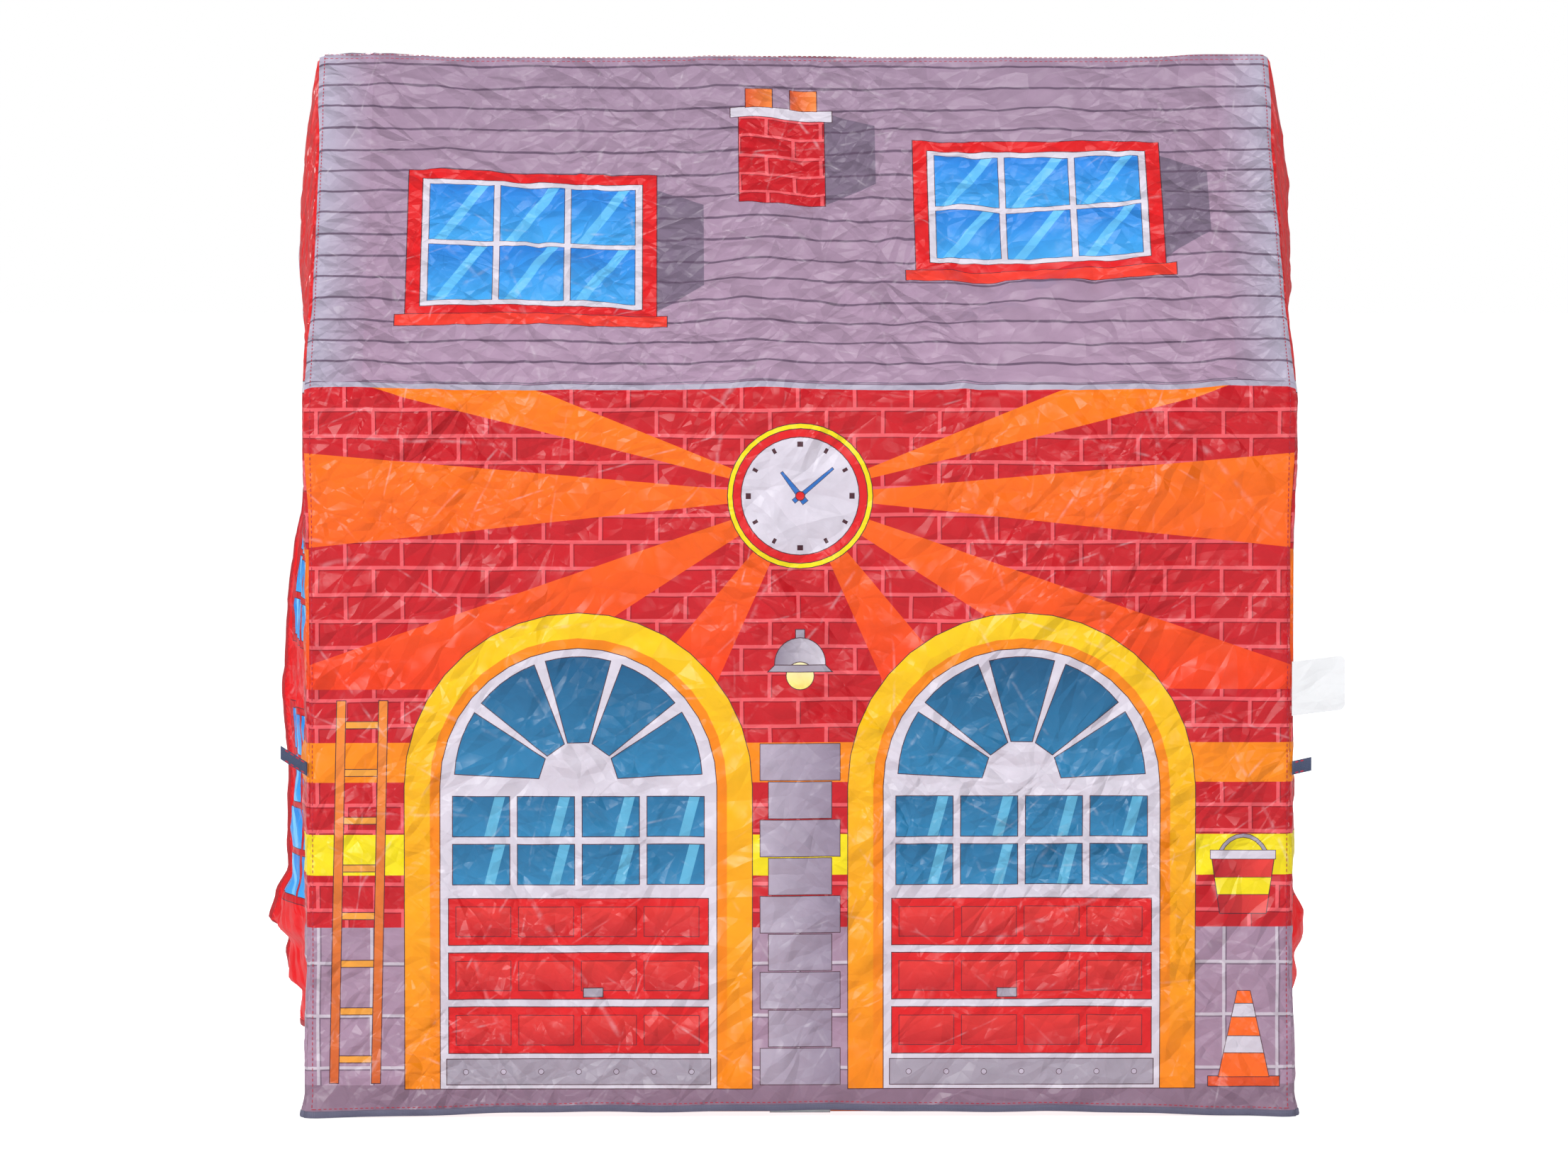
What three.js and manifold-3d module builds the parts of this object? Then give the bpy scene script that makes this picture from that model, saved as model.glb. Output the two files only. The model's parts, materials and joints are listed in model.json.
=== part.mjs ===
// A house-shaped play tent for children: a printed cloth cover over a knock-down frame of plastic tubes.
// Millimetres. The origin is on the floor in the middle of the footprint: X runs along the house, Y from
// the front wall to the back wall, and Z is up. Each gable end has a doorway with two cloth leaves.

import * as THREE from 'three';
import { mergeVertices } from 'three/addons/utils/BufferGeometryUtils.js';
import Module from 'manifold-3d';

const wasm = await Module();
wasm.setup();

// Frame, measured between the tubes' centre lines
const frameLength = 927.4;
const frameDepth = 698;
const eaveHeight = 690;
const ridgeHeight = 1008;

// Tubes and the sleeves that join two of them end to end
const tubeDiameter = 12;
const tubeWall = 1.3;
const fitClearance = 0.3;
const couplerLength = 58;
const couplerWall = 0.9;
const couplerStopWidth = 1.6;
const bellRamp = 4;

// Moulded connectors
const socketDepth = 30;
const socketWall = 2.4;
const collarRise = 1.3;
const collarWidth = 6;
const collarRamp = 1.5;
const webThickness = 3;
const webReach = 27;
const webHollowShare = 0.36;
const footRise = 0.7;
const footChamfer = 0.6;
const footInset = 1;

// Cloth of the cover
const clothThickness = 1;
const clothClearance = 0.5;
const seamGap = 0.4;
const coverEase = 75;
const hemLow = 1;
const hemHigh = 7;
const coverStep = 64;
const wrapSteps = 2;
const eaveSteps = 2;
const ridgeSteps = 2;

// Slack and folds of the long panels, outward from the frame's planes
const wallSag = -7;
const roofSag = -11;
const foldWidth = 62;
const foldDepth = 8;

// Gable ends
const doorWidth = 440;
const doorBottom = 52;
const doorTop = 597;
const gableStep = 60;
const gableBulge = 19;
const stripBulge = 4;

// Door leaves
const leafWidth = 212;
const leafClearance = 7;
const leafHingeGap = 0.9;
const leafFoldDepth = 13;
const leafFoldCount = 1.5;
const leafTopFoldShare = 0.5;
const leafColumns = 10;
const leafRows = 11;

// Tie tabs and the care tag, sewn into the corner seams
const tabHeight = 13;
const tabPly = 0.8;
const tabSlot = 0.6;
const tabCentreHeight = 335;
const tagWidth = 51;
const tagHeight = 52;
const tagThickness = 0.8;
const tagCornerRadius = 6;
const tagRise = 6;
const tagCentreHeight = 411;

// Fineness of round shapes, and the overrun of a cut
const roundSides = 12;
const ballRings = 6;
const curveSteps = 3;
const cutOverrun = 2;
const mergeTolerance = 1e-3;

// Sizes that follow from the ones above
const tubeRadius = tubeDiameter / 2;
const tubeBore = tubeRadius - tubeWall;
const boreRadius = tubeRadius + fitClearance;
const couplerRadius = boreRadius + couplerWall;
const bellDepth = couplerLength / 2;
const socketRadius = boreRadius + socketWall;
const collarRadius = socketRadius + collarRise;
const baseHeight = collarRadius + footRise;
const halfLength = frameLength / 2;
const halfDepth = frameDepth / 2;
const roofRise = ridgeHeight - eaveHeight;
const roofAngle = Math.atan2(roofRise, halfDepth);
const rafterLength = Math.hypot(roofRise, halfDepth);
const squareStart = socketRadius;
const acuteStart = (boreRadius + socketWall / 2) / Math.sin(roofAngle / 2);
const nodeReach = acuteStart + socketDepth + cutOverrun;
const tubeStand = couplerRadius + clothClearance;
const nodeStand = collarRadius + clothClearance;
const wrapAngle = Math.PI / 4;
const slopeTilt = Math.PI / 2 - roofAngle;

// Colours
const paint = (name, colour, roughness) => {
  const material = new THREE.MeshStandardMaterial({ color: colour, roughness, metalness: 0 });
  material.name = name;
  return material;
};
const tubeOrange = paint('orange tube', 0xd9682b, 0.4);
const connectorGrey = paint('light grey moulding', 0xc9ced1, 0.45);
const coverCloth = paint('printed cloth', 0xb0556a, 0.5);
const gableCloth = paint('red cloth', 0xd8232a, 0.5);
const tapeGrey = paint('grey-blue tape', 0x4d5674, 0.8);
const tagWhite = paint('white tag', 0xeeeef2, 0.7);

const corners = [
  { name: 'front_left', x: -1, y: -1 },
  { name: 'front_right', x: 1, y: -1 },
  { name: 'back_left', x: -1, y: 1 },
  { name: 'back_right', x: 1, y: 1 },
];
const sides = [{ name: 'left', x: -1 }, { name: 'right', x: 1 }];
const faces = [{ name: 'front', y: -1 }, { name: 'back', y: 1 }];

const vector = (x, y, z) => new THREE.Vector3(x, y, z);
const along = (start, direction, distance) => start.clone().addScaledVector(direction, distance);
const smooth = (t) => THREE.MathUtils.smoothstep(t, 0, 1);

const tent = new THREE.Group();

function add(name, geometry, material) {
  const mesh = new THREE.Mesh(geometry, material);
  mesh.name = name;
  tent.add(mesh);
  return mesh;
}

// A closed geometry as a solid that can be joined and cut, with its seams merged
function asSolid(geometry) {
  const bare = new THREE.BufferGeometry();
  bare.setAttribute('position', geometry.attributes.position);
  bare.setIndex(geometry.index);
  const merged = mergeVertices(bare, mergeTolerance);
  const index = merged.index.array;
  const triangles = [];
  for (let i = 0; i < index.length; i += 3) {
    const [a, b, c] = [index[i], index[i + 1], index[i + 2]];
    if (a !== b && b !== c && c !== a) triangles.push(a, b, c);
  }
  return new wasm.Manifold(new wasm.Mesh({
    numProp: 3,
    vertProperties: Float32Array.from(merged.attributes.position.array),
    triVerts: Uint32Array.from(triangles),
  }));
}

function asGeometry(solid) {
  const mesh = solid.getMesh();
  const geometry = new THREE.BufferGeometry();
  geometry.setAttribute('position', new THREE.Float32BufferAttribute(mesh.vertProperties, 3));
  geometry.setIndex(Array.from(mesh.triVerts));
  geometry.computeVertexNormals();
  return geometry;
}

// A turned shape whose axis starts at a point and runs along a direction
function turned(profile, start, direction) {
  const points = profile.map(([radius, height]) => new THREE.Vector2(radius, height));
  const geometry = new THREE.LatheGeometry(points, roundSides);
  geometry.applyQuaternion(new THREE.Quaternion().setFromUnitVectors(vector(0, 1, 0), direction));
  geometry.translate(start.x, start.y, start.z);
  return geometry;
}

// Connectors: sockets with a collar at the mouth, round a ball, stiffened by webs

const socketEnd = (start) => start + socketDepth;

function socketBody(centre, { direction, start }) {
  const end = socketEnd(start);
  return asSolid(turned([
    [0, 0],
    [socketRadius, 0],
    [socketRadius, end - collarWidth - collarRamp],
    [collarRadius, end - collarWidth],
    [collarRadius, end],
    [0, end],
  ], centre, direction));
}

function socketBore(centre, { direction, start }) {
  const end = socketEnd(start);
  return asSolid(turned([
    [0, start],
    [boreRadius, start],
    [boreRadius, end + cutOverrun],
    [0, end + cutOverrun],
  ], centre, direction));
}

function web(centre, first, second) {
  const across = second.clone().addScaledVector(first, -first.dot(second)).normalize();
  const flat = (direction, reach) =>
    new THREE.Vector2(direction.dot(first), direction.dot(across)).multiplyScalar(reach);
  const tip = flat(second, webReach);
  const hollow = flat(first.clone().add(second), webReach * webHollowShare);
  const outline = new THREE.Shape();
  outline.moveTo(0, 0);
  outline.lineTo(webReach, 0);
  outline.quadraticCurveTo(hollow.x, hollow.y, tip.x, tip.y);
  outline.closePath();
  const plate = new THREE.ExtrudeGeometry(outline, {
    depth: webThickness,
    bevelEnabled: false,
    curveSegments: curveSteps,
  });
  plate.translate(0, 0, -webThickness / 2);
  const basis = new THREE.Matrix4().makeBasis(first, across, first.clone().cross(across));
  plate.applyMatrix4(basis.setPosition(centre));
  return asSolid(plate);
}

function foot(centre) {
  const radius = collarRadius - footInset;
  return asSolid(turned([
    [0, 0],
    [radius - footChamfer, 0],
    [radius, footChamfer],
    [radius, baseHeight],
    [0, baseHeight],
  ], vector(centre.x, centre.y, 0), vector(0, 0, 1)));
}

function connector(centre, sockets, webs, extra = []) {
  const ball = new THREE.SphereGeometry(socketRadius, roundSides, ballRings);
  ball.rotateX(Math.PI / 2);
  ball.translate(centre.x, centre.y, centre.z);
  let body = asSolid(ball);
  for (const socket of sockets) body = body.add(socketBody(centre, socket));
  for (const [first, second] of webs) body = body.add(web(centre, first, second));
  for (const piece of extra) body = body.add(piece);
  for (const socket of sockets) body = body.subtract(socketBore(centre, socket));
  return asGeometry(body);
}

const up = vector(0, 0, 1);
const down = vector(0, 0, -1);
const inward = (corner) => ({ x: vector(-corner.x, 0, 0), y: vector(0, -corner.y, 0) });
const upRafter = (corner) => vector(0, -corner.y * Math.cos(roofAngle), Math.sin(roofAngle));
const baseCorner = (corner) => vector(corner.x * halfLength, corner.y * halfDepth, baseHeight);
const eaveCorner = (corner) => vector(corner.x * halfLength, corner.y * halfDepth, eaveHeight);
const ridgeEnd = (side) => vector(side.x * halfLength, 0, ridgeHeight);

for (const corner of corners) {
  const { x, y } = inward(corner);
  const base = baseCorner(corner);
  add(`base_corner_${corner.name}`, connector(
    base,
    [x, y, up].map((direction) => ({ direction, start: squareStart })),
    [[x, up], [y, up], [x, y]],
    [foot(base)],
  ), connectorGrey);
  const rafter = upRafter(corner);
  add(`eave_corner_${corner.name}`, connector(
    eaveCorner(corner),
    [
      { direction: x, start: squareStart },
      { direction: down, start: squareStart },
      { direction: y, start: acuteStart },
      { direction: rafter, start: acuteStart },
    ],
    [[x, down], [y, down], [x, y]],
  ), connectorGrey);
}

for (const side of sides) {
  const rafters = [-1, 1].map((y) => vector(0, y * Math.cos(roofAngle), -Math.sin(roofAngle)));
  const x = vector(-side.x, 0, 0);
  add(`ridge_connector_${side.name}`, connector(
    ridgeEnd(side),
    [x, ...rafters].map((direction) => ({ direction, start: squareStart })),
    rafters.map((rafter) => [x, rafter]),
  ), connectorGrey);
}

// Tubes. Both ends of a member seat on the floors of its two sockets, less the fitting clearance

function plainTube(start, end) {
  const length = start.distanceTo(end);
  return turned([
    [tubeBore, 0],
    [tubeRadius, 0],
    [tubeRadius, length],
    [tubeBore, length],
    [tubeBore, 0],
  ], start, end.clone().sub(start).normalize());
}

// A tube whose far end is widened into a bell that takes the next tube
function belledTube(start, shoulder) {
  const length = start.distanceTo(shoulder);
  const mouth = length + bellDepth;
  return turned([
    [tubeBore, 0],
    [tubeRadius, 0],
    [tubeRadius, length - bellRamp],
    [couplerRadius, length],
    [couplerRadius, mouth],
    [boreRadius, mouth],
    [boreRadius, length],
    [tubeBore, length],
    [tubeBore, 0],
  ], start, shoulder.clone().sub(start).normalize());
}

function coupler(middle, direction) {
  const half = couplerLength / 2;
  const stop = couplerStopWidth / 2;
  return turned([
    [boreRadius, -half],
    [couplerRadius, -half],
    [couplerRadius, half],
    [boreRadius, half],
    [boreRadius, stop],
    [tubeBore, stop],
    [tubeBore, -stop],
    [boreRadius, -stop],
    [boreRadius, -half],
  ], middle, direction);
}

// The stretch between two connectors that their tubes may fill
function span(from, to, start) {
  const direction = to.clone().sub(from).normalize();
  const seat = start + fitClearance;
  return {
    direction,
    start: along(from, direction, seat),
    end: along(to, direction, -seat),
    middle: from.clone().lerp(to, 0.5),
  };
}

function coupledMember(name, from, to, suffix = '') {
  const { direction, start, end, middle } = span(from, to, squareStart);
  const stop = couplerStopWidth / 2 + fitClearance;
  add(`${name}_tube${suffix}_left`, plainTube(start, along(middle, direction, -stop)), tubeOrange);
  add(`${name}_tube${suffix}_right`, plainTube(along(middle, direction, stop), end), tubeOrange);
  add(`${name}_coupler${suffix}`, coupler(middle, direction), connectorGrey);
}

function belledMember(firstName, secondName, from, to, start) {
  const { direction, start: seat, end, middle } = span(from, to, start);
  add(firstName, belledTube(seat, middle), tubeOrange);
  add(secondName, plainTube(along(middle, direction, fitClearance), end), tubeOrange);
}

for (const face of faces) {
  const [left, right] = sides.map((side) => ({ x: side.x, y: face.y }));
  coupledMember('base', baseCorner(left), baseCorner(right), `_${face.name}`);
  coupledMember('eave', eaveCorner(left), eaveCorner(right), `_${face.name}`);
}
coupledMember('ridge', ridgeEnd(sides[0]), ridgeEnd(sides[1]));

for (const side of sides) {
  const [front, back] = faces.map((face) => ({ x: side.x, y: face.y }));
  belledMember(`threshold_tube_${side.name}_front`, `threshold_tube_${side.name}_back`,
    baseCorner(front), baseCorner(back), squareStart);
  belledMember(`gable_tie_${side.name}_front`, `gable_tie_${side.name}_back`,
    eaveCorner(front), eaveCorner(back), acuteStart);
}

for (const corner of corners) {
  belledMember(`post_lower_${corner.name}`, `post_upper_${corner.name}`,
    baseCorner(corner), eaveCorner(corner), squareStart);
  const eave = eaveCorner(corner);
  const ridge = ridgeEnd(corner);
  const direction = ridge.clone().sub(eave).normalize();
  add(`rafter_${corner.name}`, plainTube(
    along(eave, direction, acuteStart + fitClearance),
    along(ridge, direction, -squareStart - fitClearance),
  ), tubeOrange);
}

// Cloth. A sheet is a grid of places on its inner face, each with the way outward there

// Grid lines at the stops given, with more between them where they lie further apart than step
function gridLines(stops, step) {
  const sorted = [...new Set(stops)].sort((a, b) => a - b);
  const lines = [sorted[0]];
  for (let i = 1; i < sorted.length; i += 1) {
    const gap = sorted[i] - sorted[i - 1];
    const parts = Math.max(1, Math.round(gap / step));
    for (let k = 1; k <= parts; k += 1) lines.push(sorted[i - 1] + (gap * k) / parts);
  }
  return lines;
}

// The closed shell of a sheet: both faces, and a rim along every edge that only one triangle has
function clothShell(columnCount, rowCount, placeAt, hasCloth = () => true) {
  const inner = [];
  const outer = [];
  const known = new Map();
  const idOf = (i, j) => {
    const { point, out } = placeAt(i, j);
    const key = point.toArray().map((value) => Math.round(value / mergeTolerance)).join();
    if (!known.has(key)) {
      known.set(key, inner.length);
      inner.push(point);
      outer.push(along(point, out, clothThickness));
    }
    return known.get(key);
  };
  const triangles = [];
  for (let i = 0; i + 1 < columnCount; i += 1) {
    for (let j = 0; j + 1 < rowCount; j += 1) {
      if (!hasCloth(i, j)) continue;
      const [a, b, c, d] = [idOf(i, j), idOf(i + 1, j), idOf(i + 1, j + 1), idOf(i, j + 1)];
      const pair = (i + j) % 2 ? [[a, b, c], [a, c, d]] : [[a, b, d], [b, c, d]];
      triangles.push(...pair.filter(([p, q, r]) => p !== q && q !== r && r !== p));
    }
  }
  const [p, q, r] = triangles[0].map((id) => inner[id]);
  const facing = q.clone().sub(p).cross(r.clone().sub(p)).dot(outer[triangles[0][0]].clone().sub(p));
  if (facing < 0) triangles.forEach((triangle) => triangle.reverse());

  const count = inner.length;
  const edges = new Set();
  const index = [];
  for (const [a, b, c] of triangles) {
    index.push(a + count, b + count, c + count, c, b, a);
    for (const [from, to] of [[a, b], [b, c], [c, a]]) edges.add(`${from},${to}`);
  }
  for (const edge of edges) {
    const [from, to] = edge.split(',').map(Number);
    if (edges.has(`${to},${from}`)) continue;
    index.push(to + count, from + count, from, to + count, from, to);
  }
  const geometry = new THREE.BufferGeometry();
  const positions = [...inner, ...outer].flatMap((point) => point.toArray());
  geometry.setAttribute('position', new THREE.Float32BufferAttribute(positions, 3));
  geometry.setIndex(index);
  geometry.computeVertexNormals();
  return geometry;
}

// How far the cloth's inner face stands off the tubes' centre lines, this far from the nearest connector
function standOff(distance) {
  const share = 1 - smooth((distance - nodeReach) / coverEase);
  return THREE.MathUtils.lerp(tubeStand, nodeStand, share);
}

// The cover's cross-section from hem to ridge: centre-line place, tilt of the outward way, and how far
// along its own plane (wall or roof) each station lies
function coverStations(ridgeTilt) {
  const wall = gridLines([
    baseHeight, baseHeight + nodeReach, baseHeight + nodeReach + coverEase,
    eaveHeight - nodeReach - coverEase, eaveHeight - nodeReach, eaveHeight,
  ], coverStep).map((z) => ({
    y: -halfDepth,
    z,
    tilt: 0,
    share: (z - baseHeight) / (eaveHeight - baseHeight),
    toNode: Math.min(z - baseHeight, eaveHeight - z),
  }));
  const hem = { ...wall[0], isHem: true };
  const slope = gridLines([
    0, nodeReach, nodeReach + coverEase,
    rafterLength - nodeReach - coverEase, rafterLength - nodeReach, rafterLength,
  ], coverStep).map((distance) => ({
    y: -halfDepth + distance * Math.cos(roofAngle),
    z: eaveHeight + distance * Math.sin(roofAngle),
    tilt: slopeTilt,
    share: distance / rafterLength,
    toNode: Math.min(distance, rafterLength - distance),
    isRoof: true,
  }));
  const arc = (station, from, to, steps) => Array.from({ length: steps }, (_, k) => ({
    ...station,
    tilt: THREE.MathUtils.lerp(from, to, (k + 1) / steps),
    isRoof: false,
  }));
  return [
    hem,
    ...wall,
    ...arc(wall.at(-1), 0, slopeTilt, eaveSteps).slice(0, -1),
    ...slope,
    ...arc(slope.at(-1), slopeTilt, ridgeTilt, ridgeSteps),
  ];
}

// Hem edge: low at the corners, where it covers the connectors, and lifted clear in the middle
const hemEdge = (share) => THREE.MathUtils.lerp(hemHigh, hemLow, share * share);

// Folds as lines on a panel: across and up at one end, across and up at the other, and the depth.
// Across runs from -1 to 1 along the house, and up from 0 to 1 within the wall or the roof.
const frontWallFoldShares = [
  [-0.95, 0.98, -0.42, 0.52, 0.9],
  [-0.9, 0.7, -0.62, 0.1, -0.5],
  [-0.1, 0.95, -0.06, 0.05, 0.75],
  [0.95, 0.98, 0.36, 0.66, 1],
  [0.92, 0.8, 0.5, 0.28, -0.7],
  [0.62, 0.9, 0.72, 0.1, 0.6],
  [0.2, 0.3, 0.55, 0.06, 0.5],
];
const frontRoofFoldShares = [
  [-0.9, 0.9, -0.5, 0.1, 0.6],
  [-0.12, 0.98, -0.08, 0.02, 0.9],
  [0.9, 0.96, 0.45, 0.4, -0.7],
  [0.95, 0.3, 0.6, 0.72, 0.8],
];
const backWallFoldShares = [
  [-0.95, 0.98, -0.4, 0.6, 1],
  [-0.5, 0.9, -0.55, 0.1, 0.6],
  [0.04, 0.95, 0.02, 0.05, 0.7],
  [0.95, 0.98, 0.42, 0.56, 0.8],
  [0.85, 0.6, 0.5, 0.12, -0.6],
];
const backRoofFoldShares = [
  [-0.9, 0.92, -0.5, 0.2, 0.7],
  [0.05, 0.98, 0.03, 0.02, 0.8],
  [0.9, 0.94, 0.5, 0.3, -0.6],
];

// Distance from a place on a panel to a fold's line, both in millimetres
function toLine(place, from, to) {
  const line = new THREE.Line3(from, to);
  return line.closestPointToPoint(place, true, vector(0, 0, 0)).distanceTo(place);
}

function panelSlack(across, share, length, sag, folds) {
  const free = Math.sqrt(Math.sin(Math.PI * share)) * (1 - across ** 4);
  const flat = (a, b) => vector(a * halfLength, b * length, 0);
  let slack = sag * (1 - across * across) * Math.sin(Math.PI * share);
  for (const [x0, up0, x1, up1, depth] of folds) {
    const distance = toLine(flat(across, share), flat(x0, up0), flat(x1, up1));
    slack += depth * foldDepth * Math.exp(-((distance / foldWidth) ** 2));
  }
  return free > 0 ? slack * free : 0;
}

function coverPanel(face, wallFolds, roofFolds) {
  const edgeWrap = wrapAngle - seamGap / 2 / tubeStand;
  const stations = coverStations(Math.PI / 2 - seamGap / 2 / tubeStand);
  const lines = gridLines([
    -halfLength, -halfLength + nodeReach, -halfLength + nodeReach + coverEase, 0,
    halfLength - nodeReach - coverEase, halfLength - nodeReach, halfLength,
  ], coverStep);
  const wraps = Array.from({ length: wrapSteps }, (_, k) => (edgeWrap * (k + 1)) / wrapSteps);
  const columns = [
    ...wraps.map((wrap) => ({ x: -halfLength, wrap: -wrap })).reverse(),
    ...lines.map((x) => ({ x, wrap: 0 })),
    ...wraps.map((wrap) => ({ x: halfLength, wrap })),
  ];
  const wallRun = eaveHeight - baseHeight;
  return clothShell(columns.length, stations.length, (i, j) => {
    const { x, wrap } = columns[i];
    const { y, z, tilt, share, toNode, isHem, isRoof } = stations[j];
    const across = x / halfLength;
    const normal = vector(0, face.y * Math.cos(tilt), Math.sin(tilt));
    const out = normal.multiplyScalar(Math.cos(wrap)).add(vector(Math.sin(wrap), 0, 0));
    const slack = isRoof
      ? panelSlack(across, share, rafterLength, roofSag, roofFolds)
      : panelSlack(across, share, wallRun, wallSag, wallFolds);
    const stand = standOff(Math.hypot(halfLength - Math.abs(x), toNode)) + slack;
    const centre = vector(x, -face.y * y, isHem ? hemEdge(across) : z);
    return { point: along(centre, out, stand), out };
  });
}

add('cover_front', coverPanel(faces[0], frontWallFoldShares, frontRoofFoldShares), coverCloth);
add('cover_back', coverPanel(faces[1], backWallFoldShares, backRoofFoldShares), coverCloth);

// A gable end: one sheet round the doorway, its edges wrapped half way round the posts and rafters
function gablePanel(side) {
  const edgeWrap = wrapAngle + seamGap / 2 / tubeStand;
  const halfDoor = doorWidth / 2;
  const stations = coverStations(Math.PI / 2);
  const doorRows = gridLines([doorBottom, doorTop], gableStep);
  const wallStations = doorRows.map((z) => ({
    y: -halfDepth,
    z,
    tilt: 0,
    share: (z - baseHeight) / (eaveHeight - baseHeight),
    toNode: Math.min(z - baseHeight, eaveHeight - z),
  }));
  const isKept = ({ isHem, z, tilt }) => isHem || tilt > 0 || z <= baseHeight
    || z > Math.max(doorTop, eaveHeight - nodeReach) - mergeTolerance;
  const rows = [...stations.filter(isKept), ...wallStations].sort(
    (a, b) => a.z - b.z || a.tilt - b.tilt || Number(!a.isHem) - Number(!b.isHem),
  );
  const shares = gridLines([-halfDepth, -halfDepth + nodeReach, -halfDoor, 0, halfDoor,
    halfDepth - nodeReach, halfDepth], gableStep).map((y) => y / halfDepth);
  const wraps = Array.from({ length: wrapSteps }, (_, k) =>
    THREE.MathUtils.lerp(edgeWrap, Math.PI / 2, k / wrapSteps));
  const columns = [
    ...wraps.map((wrap) => ({ share: -1, wrap })),
    ...shares.map((share) => ({ share, wrap: Math.PI / 2 })),
    ...wraps.map((wrap) => ({ share: 1, wrap })).reverse(),
  ];
  const inDoor = (i, j) => {
    const across = (columns[i].share + columns[i + 1].share) / 2;
    const height = (rows[j].z + rows[j + 1].z) / 2;
    const isFlat = columns[i].wrap === columns[i + 1].wrap;
    return isFlat && Math.abs(across) * halfDepth < halfDoor && height > doorBottom && height < doorTop;
  };
  return clothShell(columns.length, rows.length, (i, j) => {
    const { share, wrap } = columns[i];
    const { y, z, tilt, toNode, isHem } = rows[j];
    const halfWidth = -y;
    const face = Math.sign(share);
    const normal = vector(0, face * Math.cos(tilt), Math.sin(tilt));
    const flatOut = wrap === Math.PI / 2;
    const out = flatOut
      ? vector(side.x, 0, 0)
      : normal.multiplyScalar(Math.cos(wrap)).add(vector(side.x * Math.sin(wrap), 0, 0));
    const inBy = halfWidth * (1 - Math.abs(share));
    const place = share * halfWidth;
    const roofShare = THREE.MathUtils.clamp((z - eaveHeight) / roofRise, 0, 1);
    const wallShare = THREE.MathUtils.clamp((z - baseHeight) / (doorTop - baseHeight), 0, 1);
    const stripShare = THREE.MathUtils.clamp(
      (halfDepth - Math.abs(place)) / (halfDepth - halfDoor), 0, 1);
    const bulge = roofShare > 0
      ? gableBulge * (1 - share * share) * Math.sin(Math.PI * roofShare)
      : stripBulge * Math.sin(Math.PI * stripShare) * Math.sin(Math.PI * wallShare);
    const stand = standOff(flatOut ? Math.hypot(inBy, toNode) : toNode) + (flatOut ? bulge : 0);
    const centre = vector(side.x * halfLength, place, isHem ? hemEdge(1) : z);
    return { point: along(centre, out, stand), out };
  }, (i, j) => !inDoor(i, j));
}

for (const side of sides) add(`gable_${side.name}`, gablePanel(side), gableCloth);

// Door leaves, each sewn along the doorway's side and hanging a little open. The opening is the turn
// out of the gable's plane, and the top share is how much of it the leaf's upper edge keeps
const leaves = [
  { name: 'left_front', x: -1, y: -1, opening: 10, topShare: 0.65, drift: 0.35 },
  { name: 'left_back', x: -1, y: 1, opening: 13, topShare: 0.6, drift: 0.8 },
  { name: 'right_front', x: 1, y: -1, opening: 7, topShare: 0.75, drift: 0.1 },
  { name: 'right_back', x: 1, y: 1, opening: 9, topShare: 0.6, drift: 0.55 },
];

function doorLeaf(leaf) {
  const opening = THREE.MathUtils.degToRad(leaf.opening);
  const low = doorBottom + leafClearance;
  const high = doorTop - leafClearance;
  const run = vector(leaf.x * Math.sin(opening), -leaf.y * Math.cos(opening), 0);
  const out = vector(leaf.x * Math.cos(opening), leaf.y * Math.sin(opening), 0);
  const root = vector(
    leaf.x * (halfLength + tubeStand + clothThickness / 2), leaf.y * (doorWidth / 2 - leafHingeGap), low);
  const hinge = along(root, out, -clothThickness / 2);
  return clothShell(leafColumns + 1, leafRows + 1, (i, j) => {
    const across = i / leafColumns;
    const height = j / leafRows;
    const droop = smooth((1 - height) / leaf.drift / 2);
    const swing = THREE.MathUtils.lerp(leaf.topShare, 1, droop);
    const turn = across * leafFoldCount + leaf.drift + height * leaf.drift;
    const depth = leafFoldDepth * THREE.MathUtils.lerp(1, leafTopFoldShare, height);
    const fold = depth * across * Math.sin(2 * Math.PI * turn);
    const pulledIn = leafWidth * across * Math.tan(opening) * (swing - 1);
    const point = along(hinge, run, leafWidth * across);
    point.z = THREE.MathUtils.lerp(low, high, height);
    return { point: along(point, out, fold + pulledIn), out };
  });
}

for (const leaf of leaves) add(`door_leaf_${leaf.name}`, doorLeaf(leaf), gableCloth);

// Sewn-in tape tabs and the care tag. Each stands on the middle of a corner seam, its root rounded so
// that it can swing about the seam

const tabs = [
  { ...corners[0], reach: 25, rise: 16 },
  { ...corners[1], reach: 18, rise: 4 },
  { ...corners[2], reach: 22, rise: 8 },
  { ...corners[3], reach: 22, rise: 8 },
];

function seamPoint(corner, rootRadius, height) {
  const distance = (tubeStand + clothThickness + fitClearance + rootRadius) * Math.SQRT1_2;
  return vector(corner.x * (halfLength + distance), corner.y * (halfDepth + distance), height);
}

// Raises a shape steadily with its distance from the root, which stays upright
function raised(geometry, reach, rise) {
  geometry.applyMatrix4(new THREE.Matrix4().makeShear(0, rise / reach, 0, 0, 0, 0));
  return geometry;
}

// Stands a shape drawn in X (out), Y (thickness) and Z (height) on a corner seam
function onSeam(geometry, corner, rootRadius, height) {
  const turn = new THREE.Matrix4().makeBasis(
    vector(corner.x, 0, 0), vector(0, corner.x, 0), vector(0, 0, 1));
  geometry.applyMatrix4(turn.setPosition(seamPoint(corner, rootRadius, height)));
  return geometry;
}

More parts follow.
